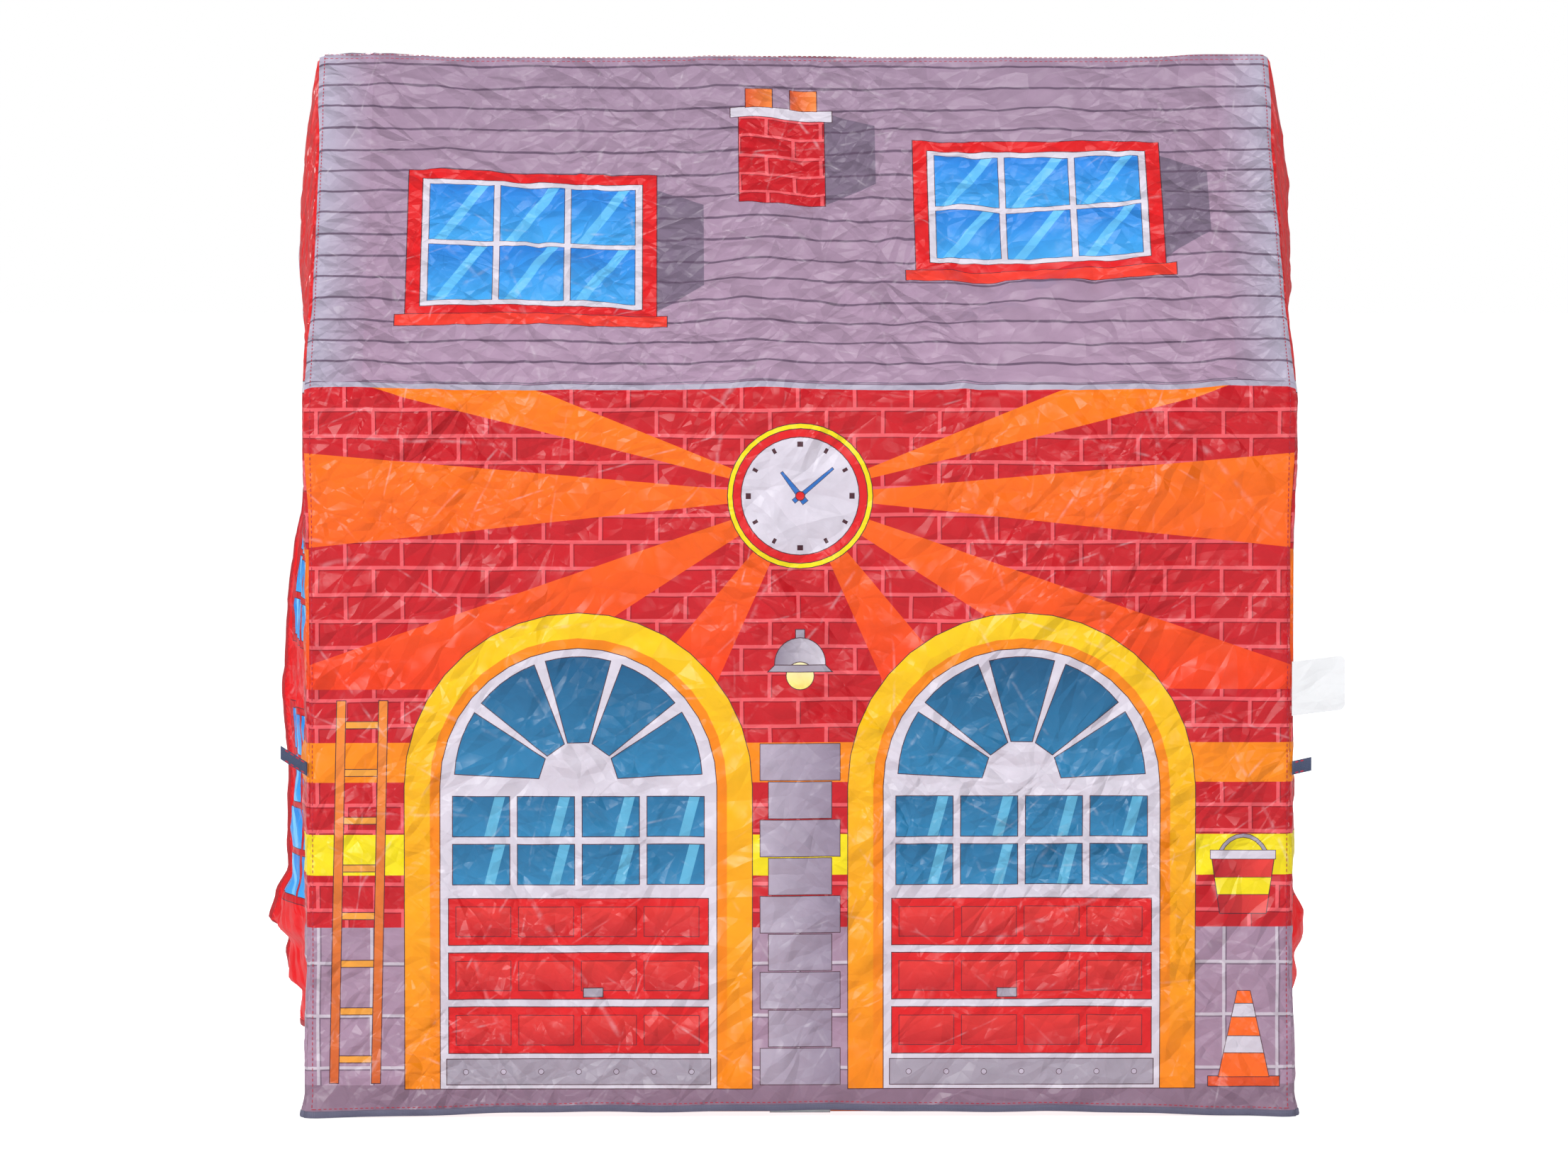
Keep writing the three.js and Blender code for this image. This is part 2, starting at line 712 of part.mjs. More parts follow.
// A short tape folded back on itself: two plies with a narrow slot, closed at the tip and the root
function tieTab(tab) {
  const radius = tabPly + tabSlot / 2;
  const slot = tabSlot / 2;
  const outline = new THREE.Shape();
  outline.absarc(0, 0, radius, Math.PI / 2, Math.PI * 1.5, false);
  outline.absarc(tab.reach - radius, 0, radius, -Math.PI / 2, Math.PI / 2, false);
  outline.closePath();
  const hole = new THREE.Path();
  hole.absarc(radius, 0, slot, Math.PI * 1.5, Math.PI / 2, true);
  hole.absarc(tab.reach - radius, 0, slot, Math.PI / 2, -Math.PI / 2, true);
  outline.holes.push(hole);
  const tape = new THREE.ExtrudeGeometry(outline, {
    depth: tabHeight,
    bevelEnabled: false,
    curveSegments: curveSteps,
  });
  tape.translate(0, 0, -tabHeight / 2);
  return onSeam(raised(tape, tab.reach, tab.rise), tab, radius, tabCentreHeight);
}

for (const tab of tabs) add(`tie_tab_${tab.name}`, tieTab(tab), tapeGrey);

function careTag(corner) {
  const outline = new THREE.Shape();
  const top = tagHeight / 2;
  const round = tagWidth - tagCornerRadius;
  outline.moveTo(0, -top);
  outline.lineTo(round, -top);
  outline.absarc(round, tagCornerRadius - top, tagCornerRadius, -Math.PI / 2, 0, false);
  outline.absarc(round, top - tagCornerRadius, tagCornerRadius, 0, Math.PI / 2, false);
  outline.lineTo(0, top);
  outline.closePath();
  const tag = new THREE.ExtrudeGeometry(outline, {
    depth: tagThickness,
    bevelEnabled: false,
    curveSegments: curveSteps,
  });
  tag.translate(0, 0, -tagThickness / 2);
  tag.rotateX(Math.PI / 2);
  return onSeam(raised(tag, tagWidth, tagRise), corner, tagThickness / 2, tagCentreHeight);
}

add('care_tag', careTag(corners[1]), tagWhite);

export default tent;
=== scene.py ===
"""A house-shaped play tent for children: printed polyester taffeta over a knock-down frame of plastic tubes.

Blender units are metres. Sizes on the cloth are in millimetres, on each panel's flat cutting plan.
"""

import json
import math

import bpy
import numpy as np
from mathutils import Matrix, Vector
from mathutils.geometry import delaunay_2d_cdt


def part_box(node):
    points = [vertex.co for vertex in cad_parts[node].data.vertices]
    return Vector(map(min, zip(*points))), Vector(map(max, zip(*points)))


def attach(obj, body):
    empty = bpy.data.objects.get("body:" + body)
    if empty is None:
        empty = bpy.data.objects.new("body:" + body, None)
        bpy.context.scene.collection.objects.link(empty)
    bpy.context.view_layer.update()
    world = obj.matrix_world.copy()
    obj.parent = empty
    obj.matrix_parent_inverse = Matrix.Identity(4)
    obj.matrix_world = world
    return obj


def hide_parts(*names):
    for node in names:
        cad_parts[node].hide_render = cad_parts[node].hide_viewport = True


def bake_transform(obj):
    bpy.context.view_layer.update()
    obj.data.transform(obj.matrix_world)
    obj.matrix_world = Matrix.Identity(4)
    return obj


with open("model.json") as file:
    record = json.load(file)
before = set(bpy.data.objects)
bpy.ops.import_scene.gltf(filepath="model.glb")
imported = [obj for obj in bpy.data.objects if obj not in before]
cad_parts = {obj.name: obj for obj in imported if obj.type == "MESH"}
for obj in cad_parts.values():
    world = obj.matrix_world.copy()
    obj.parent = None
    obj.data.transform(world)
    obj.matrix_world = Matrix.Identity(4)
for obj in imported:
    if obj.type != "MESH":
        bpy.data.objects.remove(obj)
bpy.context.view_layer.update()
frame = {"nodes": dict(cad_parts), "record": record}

# Camera. The photograph looks at one long side from about 7.5 m, a little left of the middle and from
# above the tent's half height, through a long lens.
PHOTO_WIDTH = 2212
PIXEL_AT_FRONT = 0.6766e-3
FRONT_PLANE = -0.3565
CAMERA_PLACE = Vector((-0.125, FRONT_PLANE - 7.5, 0.96))
CAMERA_AIM = Vector((-0.0154, FRONT_PLANE, 0.508))
SENSOR = 36

camera_data = bpy.data.cameras.new("camera")
camera_data.sensor_width = SENSOR
camera_data.lens = SENSOR * (CAMERA_AIM - CAMERA_PLACE).length / (PHOTO_WIDTH * PIXEL_AT_FRONT)
camera_data.clip_end = 100


def add_object(name, data):
    """A new object in the scene."""
    made = bpy.data.objects.new(name, data)
    bpy.context.scene.collection.objects.link(made)
    return made


def aimed(name, data, place, aim):
    """A camera or a light that looks from one place to another."""
    made = add_object(name, data)
    made.location = place
    made.rotation_euler = (aim - place).to_track_quat("-Z", "Y").to_euler()
    return made


bpy.context.scene.camera = aimed("camera", camera_data, CAMERA_PLACE, CAMERA_AIM)
bpy.context.scene.view_settings.view_transform = "Standard"


# Studio. A pale floor, an even white surround and soft boxes: the main one high on the left of the camera,
# a weaker one on its right, one overhead for the roof, and one each for the ends and the back.
def linear(code):
    """A colour written as it looks on screen, such as 'e03020', in the linear values that shaders take."""
    parts = [int(code[i:i + 2], 16) / 255 for i in (0, 2, 4)]
    return [c / 12.92 if c <= 0.04045 else ((c + 0.055) / 1.055) ** 2.4 for c in parts] + [1.0]


def principled(name, **inputs):
    """A new material and its Principled BSDF, with the values given set on the shader's own sockets."""
    material = bpy.data.materials.new(name)
    material.use_nodes = True
    shader = material.node_tree.nodes["Principled BSDF"]
    for socket, value in inputs.items():
        shader.inputs[socket.replace("_", " ")].default_value = value
    return material, shader


def add_node(tree, kind, settings=None, **inputs):
    """A node with its settings, and with each input set to a value or joined to an output."""
    made = tree.nodes.new(kind)
    for key, value in (settings or {}).items():
        setattr(made, key, value)
    for key, value in inputs.items():
        socket = made.inputs[int(key[1:]) if key[1:].isdigit() else key.replace("_", " ")]
        if isinstance(value, bpy.types.NodeSocket):
            tree.links.new(value, socket)
        else:
            socket.default_value = value
    return made


def math_node(tree, operation, *values, clamp=False):
    """The output of a Math node on numbers or outputs."""
    inputs = {f"i{k}": value for k, value in enumerate(values)}
    return add_node(tree, "ShaderNodeMath", {"operation": operation, "use_clamp": clamp}, **inputs).outputs[0]


FLOOR_HALF, FLOOR_GLOW = 30, 0.85
floor_mesh = bpy.data.meshes.new("floor")
floor_corners = [(x * FLOOR_HALF, y * FLOOR_HALF, 0) for x, y in ((-1, -1), (1, -1), (1, 1), (-1, 1))]
floor_mesh.from_pydata(floor_corners, [], [(0, 1, 2, 3)])
floor_material, shader = principled("pale floor", Base_Color=linear("f2f2f4"), Roughness=0.9,
                                    Emission_Color=(1.0, 1.0, 1.0, 1.0))
tree = floor_material.node_tree
seen_straight = add_node(tree, "ShaderNodeLightPath").outputs["Is Camera Ray"]
tree.links.new(math_node(tree, "MULTIPLY", seen_straight, FLOOR_GLOW), shader.inputs["Emission Strength"])
floor_mesh.materials.append(floor_material)
add_object("floor", floor_mesh)

SURROUND_LIGHT = 0.27
world = bpy.data.worlds.new("studio")
world.use_nodes = True
bpy.context.scene.world = world
tree = world.node_tree
surround = tree.nodes["Background"]
surround.inputs["Color"].default_value = linear("fbfbfd")
surround.inputs["Strength"].default_value = SURROUND_LIGHT
backdrop = add_node(tree, "ShaderNodeBackground", Color=linear("ffffff"), Strength=1.0)
seen_straight = add_node(tree, "ShaderNodeLightPath").outputs["Is Camera Ray"]
choice = add_node(tree, "ShaderNodeMixShader", i0=seen_straight, i1=surround.outputs[0],
                  i2=backdrop.outputs[0])
tree.links.new(choice.outputs[0], tree.nodes["World Output"].inputs["Surface"])

LIGHT_AIM = Vector((0, 0, 0.55))
SOFT_BOXES = [
    ("main_light", (-2.9, -5.0, 3.0), (1.2, 1.2), 176),
    ("fill_light", (2.4, -5.4, 1.9), (1.0, 1.0), 56),
    ("top_light", (0.2, -1.0, 3.4), (1.3, 0.7), 26),
    ("left_light", (-4.2, 0.2, 2.2), (1.3, 1.3), 40),
    ("right_light", (4.4, 0.3, 2.2), (1.3, 1.3), 42),
    ("rear_light", (-1.5, 4.8, 2.6), (1.8, 1.4), 100),
]
for name, place, size, power in SOFT_BOXES:
    light = bpy.data.lights.new(name, "AREA")
    light.shape = "RECTANGLE"
    light.size, light.size_y = size
    light.energy = power
    aimed(name, light, Vector(place), LIGHT_AIM)


# Tubes and connectors. Extruded orange tubes push into moulded light grey corner pieces, and sleeves of
# the same grey join the two halves of each long tube. Their solids stay, with rounded shading.
def node_group(name, inputs, outputs):
    """An empty shader node group with its sockets, and its two end nodes."""
    group = bpy.data.node_groups.new(name, "ShaderNodeTree")
    for socket, kind, value in inputs:
        made = group.interface.new_socket(socket, in_out="INPUT", socket_type=kind)
        if value is not None:
            made.default_value = value
    for socket, kind in outputs:
        group.interface.new_socket(socket, in_out="OUTPUT", socket_type=kind)
    return group, group.nodes.new("NodeGroupInput"), group.nodes.new("NodeGroupOutput")


def join(tree, ends, **outputs):
    """Joins outputs to the named inputs of a shader or of a group's end."""
    for name, output in outputs.items():
        tree.links.new(output, ends.inputs[name.replace("_", " ")])


def noise(tree, place, scale, detail, output="Fac", **inputs):
    """The output of a Noise Texture."""
    return add_node(tree, "ShaderNodeTexNoise", Vector=place, Scale=scale, Detail=detail,
                    **inputs).outputs[output]


def give_finish(tree, shader, colour, roughness, height, strength, distance):
    """Joins a colour, a roughness and the bump of a height to a material's shader."""
    bump = add_node(tree, "ShaderNodeBump", Strength=strength, Distance=distance, Height=height)
    join(tree, shader, Base_Color=colour, Roughness=roughness, Normal=bump.outputs[0])


def effect(tree, group, **inputs):
    """A node group's effect placed in a material with its own values."""
    return add_node(tree, "ShaderNodeGroup", {"node_tree": group}, **inputs).outputs


def mix_colour(tree, factor, first, second, blend="MIX"):
    """The output of a colour mix."""
    return add_node(tree, "ShaderNodeMix", {"data_type": "RGBA", "blend_type": blend},
                    i0=factor, i6=first, i7=second).outputs[2]


moulded, ends_in, ends_out = node_group(
    "moulded_plastic",
    [("Grain", "NodeSocketFloat", 900.0), ("Handling", "NodeSocketFloat", 6.0)],
    [("Cloudiness", "NodeSocketFloat"), ("Roughness", "NodeSocketFloat"), ("Height", "NodeSocketFloat")],
)
object_place = add_node(moulded, "ShaderNodeTexCoord").outputs["Object"]
handling = noise(moulded, object_place, ends_in.outputs["Handling"], 5.0)
join(moulded, ends_out, Cloudiness=handling,
     Roughness=math_node(moulded, "MULTIPLY_ADD", handling, 0.22, 0.26),
     Height=noise(moulded, object_place, ends_in.outputs["Grain"], 2.0))

PLASTICS = {
    "tube": ("orange tube", "d8622a", "c2511f", 0.05),
    "connector": ("light grey moulding", "ccd1d3", "bcc2c5", 0.08),
}
GRAIN_SIZE = 0.0002
plastic = {}
for slot_name, (name, tint, dull_tint, grain_depth) in PLASTICS.items():
    material, shader = principled(name, IOR=1.49)
    tree = material.node_tree
    surface = effect(tree, moulded)
    colour = mix_colour(tree, surface["Cloudiness"], linear(tint), linear(dull_tint))
    give_finish(tree, shader, colour, surface["Roughness"], surface["Height"], grain_depth, GRAIN_SIZE)
    plastic[slot_name] = material

FACET_TURN = math.radians(34)
slot_of = {row["node"]: row["material_slot"] for row in frame["record"]["subparts"]}
for node_name, node_object in frame["nodes"].items():
    if slot_of[node_name] in plastic:
        node_mesh = node_object.data
        node_mesh.materials.clear()
        node_mesh.materials.append(plastic[slot_of[node_name]])
        node_mesh.polygons.foreach_set("use_smooth", [True] * len(node_mesh.polygons))
        node_object.modifiers.new("rounded shading", "EDGE_SPLIT").split_angle = FACET_TURN

# Printed cloth, shared by the cover, the gable ends and the door leaves. It is thin glossy polyester
# taffeta, printed before it is cut, crumpled from its bag. The frame's lines give each panel its plan.
TO_METRES = 0.001


def middle(node_name):
    """A node's middle in millimetres."""
    low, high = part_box(node_name)
    return (low + high) / 2 / TO_METRES


post = middle("post_upper_back_right")
HALF_LENGTH, HALF_DEPTH = post.x, post.y
BASE = middle("base_tube_front_left").z
EAVE = middle("eave_tube_front_left").z
RIDGE = middle("ridge_tube_left").z
ROOF_ANGLE = math.atan2(RIDGE - EAVE, HALF_DEPTH)
RAFTER = math.hypot(RIDGE - EAVE, HALF_DEPTH)
SLOPE_TILT = math.pi / 2 - ROOF_ANGLE
TUBE_STAND = 8.3
NODE_STAND = 11.1
NODE_REACH = 53.0
COVER_EASE = 75.0
WRAP_RADIUS = 8.6
SEAM_TURN = math.pi / 4
SEAM_DIP, SEAM_REACH = 1.5, 3
LOW_ARC = WRAP_RADIUS * SLOPE_TILT
TOP_ARC = WRAP_RADIUS * (math.pi / 2 - SLOPE_TILT)
ROOF_START = EAVE + LOW_ARC
ROOF_END = ROOF_START + RAFTER
COVER_TOP = ROOF_END + TOP_ARC
COVER_EDGE = HALF_LENGTH + WRAP_RADIUS * SEAM_TURN
HEM_LOW, HEM_HIGH = 1.2, 7.0
RELIEF_STEP = 2.0


class Relief:
    """How far a sheet's folds and creases stand out, in millimetres, on a fine grid over its flat plan."""

    def __init__(self, low, high):
        self.low = np.array(low, float)
        across, along = (np.ceil((np.array(high) - self.low) / RELIEF_STEP) + 2).astype(int)
        self.height = np.zeros((along, across))

    def places(self):
        """The places of all the grid's points."""
        along, across = self.height.shape
        return (self.low[0] + RELIEF_STEP * np.arange(across)[None, :],
                self.low[1] + RELIEF_STEP * np.arange(along)[:, None])

    def window(self, low, high):
        """The part of the grid inside a box, and the places of its points."""
        first = np.clip(((np.array(low) - self.low) / RELIEF_STEP).astype(int), 0, None)
        last = ((np.array(high) - self.low) / RELIEF_STEP).astype(int) + 2
        last = np.minimum(last, self.height.shape[::-1])
        part = (slice(first[1], last[1]), slice(first[0], last[0]))
        s = self.low[0] + RELIEF_STEP * np.arange(first[0], last[0])
        t = self.low[1] + RELIEF_STEP * np.arange(first[1], last[1])
        return part, s[None, :], t[:, None]

    def fold(self, start, end, width, depth):
        """A soft rounded fold along a line."""
        (s0, t0), (s1, t1) = start, end
        reach = 3 * width
        part, s, t = self.window((min(s0, s1) - reach, min(t0, t1) - reach),
                                 (max(s0, s1) + reach, max(t0, t1) + reach))
        run_s, run_t = s1 - s0, t1 - t0
        share = np.clip(((s - s0) * run_s + (t - t0) * run_t) / (run_s ** 2 + run_t ** 2), 0, 1)
        distance = np.hypot(s - s0 - share * run_s, t - t0 - share * run_t)
        self.height[part] += depth * np.exp(-(distance / width) ** 2)

    def crease(self, place, angle, length, reaches, depth):
        """A sharp crease: flat facets that meet in a line and die away at its ends."""
        reach = length / 2 + max(reaches)
        part, s, t = self.window(np.array(place) - reach, np.array(place) + reach)
        if 0 in self.height[part].shape:
            return
        along = (s - place[0]) * math.cos(angle) + (t - place[1]) * math.sin(angle)
        off = (t - place[1]) * math.cos(angle) - (s - place[0]) * math.sin(angle)
        tent = 1 - np.where(off > 0, off / reaches[0], -off / reaches[1])
        ends = np.clip((length / 2 - np.abs(along)) / (0.4 * length), 0, 1)
        self.height[part] += depth * np.clip(tent, 0, 1) * ends

    def crumple(self, rng, count, lengths, reaches, depth, weight=None):
        """Many creases at random, with a share of them kept by the weight at their place."""
        high = self.low + RELIEF_STEP * np.array(self.height.shape[::-1])
        for _ in range(count):
            place = rng.uniform(self.low, high)
            angle = rng.uniform(0, math.pi)
            length = rng.uniform(*lengths)
            reach = rng.uniform(*reaches, 2)
            size = depth * rng.choice([-1, 1]) * rng.uniform(0.4, 1) * min(1, length / lengths[1] + 0.4)
            if weight is None or rng.uniform() < weight(*place):
                self.crease(place, angle, length, reach, size)

    def fan(self, rng, apex, middle, spread, count, lengths, depth):
        """Creases that run out from a point where the cloth is pulled."""
        for _ in range(count):
            angle = middle + rng.uniform(-spread, spread)
            length = rng.uniform(*lengths)
            start = rng.uniform(6, 40)
            place = np.array(apex) + (start + length / 2) * np.array([math.cos(angle), math.sin(angle)])
            reaches = rng.uniform(3.5, 9, 2)
            self.crease(place, angle, length, reaches, depth * rng.choice([-1, 1]) * rng.uniform(0.5, 1))

    def at(self, s, t):
        """The height at places on the plan."""
        column = np.clip((s - self.low[0]) / RELIEF_STEP, 0, self.height.shape[1] - 1.001)
        row = np.clip((t - self.low[1]) / RELIEF_STEP, 0, self.height.shape[0] - 1.001)
        i, j = column.astype(int), row.astype(int)
        u, v = column - i, row - j
        h = self.height
        return ((h[j, i] * (1 - u) + h[j, i + 1] * u) * (1 - v)
                + (h[j + 1, i] * (1 - u) + h[j + 1, i + 1] * u) * v)


def smooth_step(value):
    """Nought to one, with level ends."""
    value = np.clip(value, 0, 1)
    return value * value * (3 - 2 * value)


def stand_off(distance):
    """How far the cloth stands off the tubes' centre lines, this far from the nearest connector."""
    return NODE_STAND + (TUBE_STAND - NODE_STAND) * smooth_step((distance - NODE_REACH) / COVER_EASE)


FLARE, FLARE_HEIGHT, FLARE_WIDTH = 4.2, 24, 38


def corner_flare(height, inset):
    """How far the hem's taped corners turn outward, this high and this far in from the corner seam."""
    return FLARE * smooth_step((FLARE_HEIGHT - height) / FLARE_HEIGHT) * smooth_step(
        (FLARE_WIDTH - inset) / FLARE_WIDTH)


def arc(centre, radius, turns, rise=None):
    """Places on a circle at these turns, or on an oval where it has another height."""
    rise = radius if rise is None else rise
    return [(centre[0] + radius * math.cos(a), centre[1] + rise * math.sin(a)) for a in turns]


# A paint is one colour, or two with the axis they change along and where they start and end
LINE_TINT = (linear("4a2430"),)


class Print:
    """The shapes printed on one panel, in the order they are laid down, on its flat plan."""

    def __init__(self):
        self.shapes = []

    def shape(self, points, paint, kind=0, line=0.0):
        """A filled shape, with a dark line round it where one is asked for."""
        points = [(float(s), float(t)) for s, t in points]
        if line:
            self.shapes.append((grown(points, line), LINE_TINT, 0))
        self.shapes.append((points, paint, kind))

    def box(self, s0, t0, s1, t1, paint, kind=0, line=0.0):
        """A box from its lower left to its upper right corner."""
        self.shape([(s0, t0), (s1, t0), (s1, t1), (s0, t1)], paint, kind, line)

    def band(self, foot, low, head, high, paint, line=0.0):
        """A shape between a level foot and a level head, each given by its two ends."""
        self.shape([(foot[0], low), (foot[1], low), (head[1], high), (head[0], high)], paint, 0, line)

    def disc(self, s, t, radius, paint, line=0.0, points=28):
        """A round spot."""
        turns = [2 * math.pi * k / points for k in range(points)]
        self.shape(arc((s, t), radius, turns), paint, 0, line)

    def arch(self, s, bottom, spring, radius, paint, kind=0, line=0.0, points=18):
        """An upright shape with a half-round head above its springing."""
        top = arc((s, spring), radius, [math.pi * k / points for k in range(points + 1)])
        self.shape([(s - radius, bottom), (s + radius, bottom), *top], paint, kind, line)


def signed_area(points):
    """Twice the area of a closed outline, positive where it runs anticlockwise."""
    return sum(a[0] * b[1] - b[0] * a[1] for a, b in zip(points, points[1:] + points[:1]))


def grown(points, margin):
    """An outline moved outward by a margin, with mitred corners."""
    side = math.copysign(1, signed_area(points))
    result = []
    for before, here, after in zip(points[-1:] + points[:-1], points, points[1:] + points[:1]):
        normals = []
        for a, b in ((before, here), (here, after)):
            length = math.hypot(b[0] - a[0], b[1] - a[1]) or 1
            normals.append((side * (b[1] - a[1]) / length, side * (a[0] - b[0]) / length))
        sum_s, sum_t = normals[0][0] + normals[1][0], normals[0][1] + normals[1][1]
        scale = 2 * margin / max(0.6, sum_s ** 2 + sum_t ** 2)
        result.append((here[0] + scale * sum_s, here[1] + scale * sum_t))
    return result


def inside(points, s, t):
    """Which places lie inside a closed outline."""
    result = np.zeros(len(s), bool)
    for (s0, t0), (s1, t1) in zip(points, points[1:] + points[:1]):
        if t0 != t1:
            crosses = (t0 > t) != (t1 > t)
            result ^= crosses & (s < (s1 - s0) * (t - t0) / (t1 - t0) + s0)
    return result


def divided(points, step):
    """A closed outline with no stretch longer than a step."""
    result = []
    for (s0, t0), (s1, t1) in zip(points, points[1:] + points[:1]):
        parts = max(1, math.ceil(math.hypot(s1 - s0, t1 - t0) / step))
        result += [(s0 + (s1 - s0) * k / parts, t0 + (t1 - t0) * k / parts) for k in range(parts)]
    return result


def clipped(points, low, high):
    """The part of a closed outline that lies inside a box."""
    for axis in (0, 1):
        for limit, side in ((low[axis], 1), (high[axis], -1)):
            kept = []
            for a, b in zip(points, points[1:] + points[:1]):
                start, end = side * (a[axis] - limit), side * (b[axis] - limit)
                if start >= 0:
                    kept.append(a)
                if start * end < 0:
                    share = start / (start - end)
                    kept.append((a[0] + (b[0] - a[0]) * share, a[1] + (b[1] - a[1]) * share))
            points = kept
    return points


GRID_MARGIN, CLIP_MARGIN, ROW_RISE = 1.3, 3, 0.87


def give_attribute(mesh, name, kind, domain, field, values):
    """Keeps a value on each point or face corner of a mesh."""
    mesh.attributes.new(name, kind, domain).data.foreach_set(field, np.ravel(values))


def smooth_object(name, mesh):
    """A new object of a mesh, with smooth shading."""
    mesh.polygons.foreach_set("use_smooth", [True] * len(mesh.polygons))
    return add_object(name, mesh)


def cut_panel(name, outline, openings, printed, surface, step, flip=False):
    """Cuts a panel on its plan, with every printed edge an edge of the mesh, and lays it on its surface."""
    loops = [divided(points, step) for points in [outline, *openings]]
    low, high = np.array(outline).min(0), np.array(outline).max(0)
    shapes = [(clipped(points, low - CLIP_MARGIN, high + CLIP_MARGIN), *rest)
              for points, *rest in printed.shapes]
    shapes = [row for row in shapes if len(row[0]) > 2]
    loops += [divided(points, step) for points, _, _ in shapes]
    across = np.arange(low[0] + step / 2, high[0], step)
    along = np.arange(low[1] + step / 2, high[1], step * ROW_RISE)
    s, t = np.meshgrid(across, along)
    s = s + (np.arange(len(along)) % 2)[:, None] * step / 2
    s, t = s.ravel(), t.ravel()
    kept = inside(outline, s, t)
    for points in openings:
        kept &= ~inside(points, s, t)
    s, t = s[kept], t[kept]
    kept = np.ones(len(s), bool)
    for points in [outline, *openings, *(row[0] for row in shapes)]:
        for (s0, t0), (s1, t1) in zip(points, points[1:] + points[:1]):
            near = np.flatnonzero((s > min(s0, s1) - GRID_MARGIN) & (s < max(s0, s1) + GRID_MARGIN)
                                  & (t > min(t0, t1) - GRID_MARGIN) & (t < max(t0, t1) + GRID_MARGIN))
            length = math.hypot(s1 - s0, t1 - t0) or 1
            off = np.abs((s[near] - s0) * (t1 - t0) - (t[near] - t0) * (s1 - s0)) / length
            kept[near[off < GRID_MARGIN]] = False
    places = [Vector(place) for place in zip(s[kept], t[kept])]
    edges = []
    for loop in loops:
        first = len(places)
        places += [Vector(place) for place in loop]
        edges += [(first + k, first + (k + 1) % len(loop)) for k in range(len(loop))]
    found, _, faces, *_ = delaunay_2d_cdt(places, edges, [], 0, 1e-4, False)
    plan = np.array(found)
    faces = np.array(faces)
    centres = plan[faces].mean(1)
    kept = inside(outline, *centres.T)
    for points in openings:
        kept &= ~inside(points, *centres.T)
    faces, centres = faces[kept], centres[kept]
    used = np.unique(faces)
    renumbered = np.zeros(len(plan), int)
    renumbered[used] = np.arange(len(used))
    faces, plan = renumbered[faces], plan[used]

    colours = np.ones((len(faces), 3, 4))
    kinds = np.zeros(len(faces))
    for points, paint, kind in shapes:
        box_low, box_high = np.array(points).min(0), np.array(points).max(0)
        near = np.flatnonzero(((centres >= box_low) & (centres <= box_high)).all(1))
        hit = near[inside(points, *centres[near].T)]
        kinds[hit] = kind
        if len(paint) == 1:
            colours[hit] = paint[0]
        else:
            first, second, axis, start, end = paint
            share = np.clip((plan[faces[hit], axis] - start) / (end - start), 0, 1)[..., None]
            colours[hit] = np.array(first) * (1 - share) + np.array(second) * share

    places, _ = surface(*plan.T)
    mesh = bpy.data.meshes.new(name)
    mesh.from_pydata((places * TO_METRES).tolist(), [], (faces[:, ::-1] if flip else faces).tolist())
    if flip:
        colours = colours[:, ::-1]
    give_attribute(mesh, "print_tint", "FLOAT_COLOR", "CORNER", "color", colours)
    give_attribute(mesh, "print_kind", "FLOAT", "CORNER", "value", np.repeat(kinds, 3))
    flat = np.concatenate([plan * TO_METRES, np.zeros((len(plan), 1))], 1)
    give_attribute(mesh, "cloth_place", "FLOAT_VECTOR", "POINT", "vector", flat)
    return smooth_object(name, mesh)


# How the printed cloth looks: masks for the patterns that repeat over it, and the fine creases that
# carry the flash's highlights. One material takes its colours from the print laid on each panel.
def ranged(tree, value, ease="LINEAR", **limits):
    """A value moved from one range (i1 to i2) to another (i3 to i4)."""
    return add_node(tree, "ShaderNodeMapRange", {"interpolation_type": ease}, Value=value,
                    **limits).outputs[0]


def eased(tree, value, start, end):
    """Nought to one as a value goes from its start to its end, with level ends."""
    return ranged(tree, value, "SMOOTHSTEP", i1=start, i2=end)


def moved(tree, operation, place, shift, onto=None):
    """The output of a Vector Math node on places."""
    more = {} if onto is None else {"i2": onto}
    return add_node(tree, "ShaderNodeVectorMath", {"operation": operation}, i0=place, i1=shift,
                    **more).outputs[0]


def attribute(tree, name, output):
    """A named attribute of the mesh."""
    return add_node(tree, "ShaderNodeAttribute", {"attribute_name": name}).outputs[output]


def masonry(tree, place, width, height, joint, offset):
    """The joint mask of laid blocks, one on the joints."""
    return add_node(tree, "ShaderNodeTexBrick", {"offset": offset, "offset_frequency": 2, "squash": 1.0},
                    Vector=place, Scale=1.0, Mortar_Size=joint, Mortar_Smooth=0.2, Bias=0.0,
                    Brick_Width=width, Row_Height=height).outputs["Fac"]


patterns, ends_in, ends_out = node_group(
    "printed_patterns", [],
    [("Clapboard", "NodeSocketFloat"), ("Brick Light", "NodeSocketFloat"), ("Brick Dark", "NodeSocketFloat"),
     ("Block Light", "NodeSocketFloat"), ("Block Dark", "NodeSocketFloat"), ("Mottle", "NodeSocketFloat")],
)
place = attribute(patterns, "cloth_place", "Vector")
kind = attribute(patterns, "print_kind", "Fac")
is_board, is_brick, is_block = [math_node(patterns, "COMPARE", kind, number, 0.5)
                                for number in (1.0, 2.0, 3.0)]
drift = moved(patterns, "MULTIPLY_ADD", noise(patterns, place, 9.0, 2.0, "Color"), (0.004, 0.004, 0.0), place)
BOARD = 0.0302
height = add_node(patterns, "ShaderNodeSeparateXYZ", Vector=place).outputs["Y"]
wavy = math_node(patterns, "MULTIPLY_ADD", noise(patterns, place, 14.0, 3.0), 0.009, height)
board = math_node(patterns, "FRACT", math_node(patterns, "DIVIDE", wavy, BOARD))
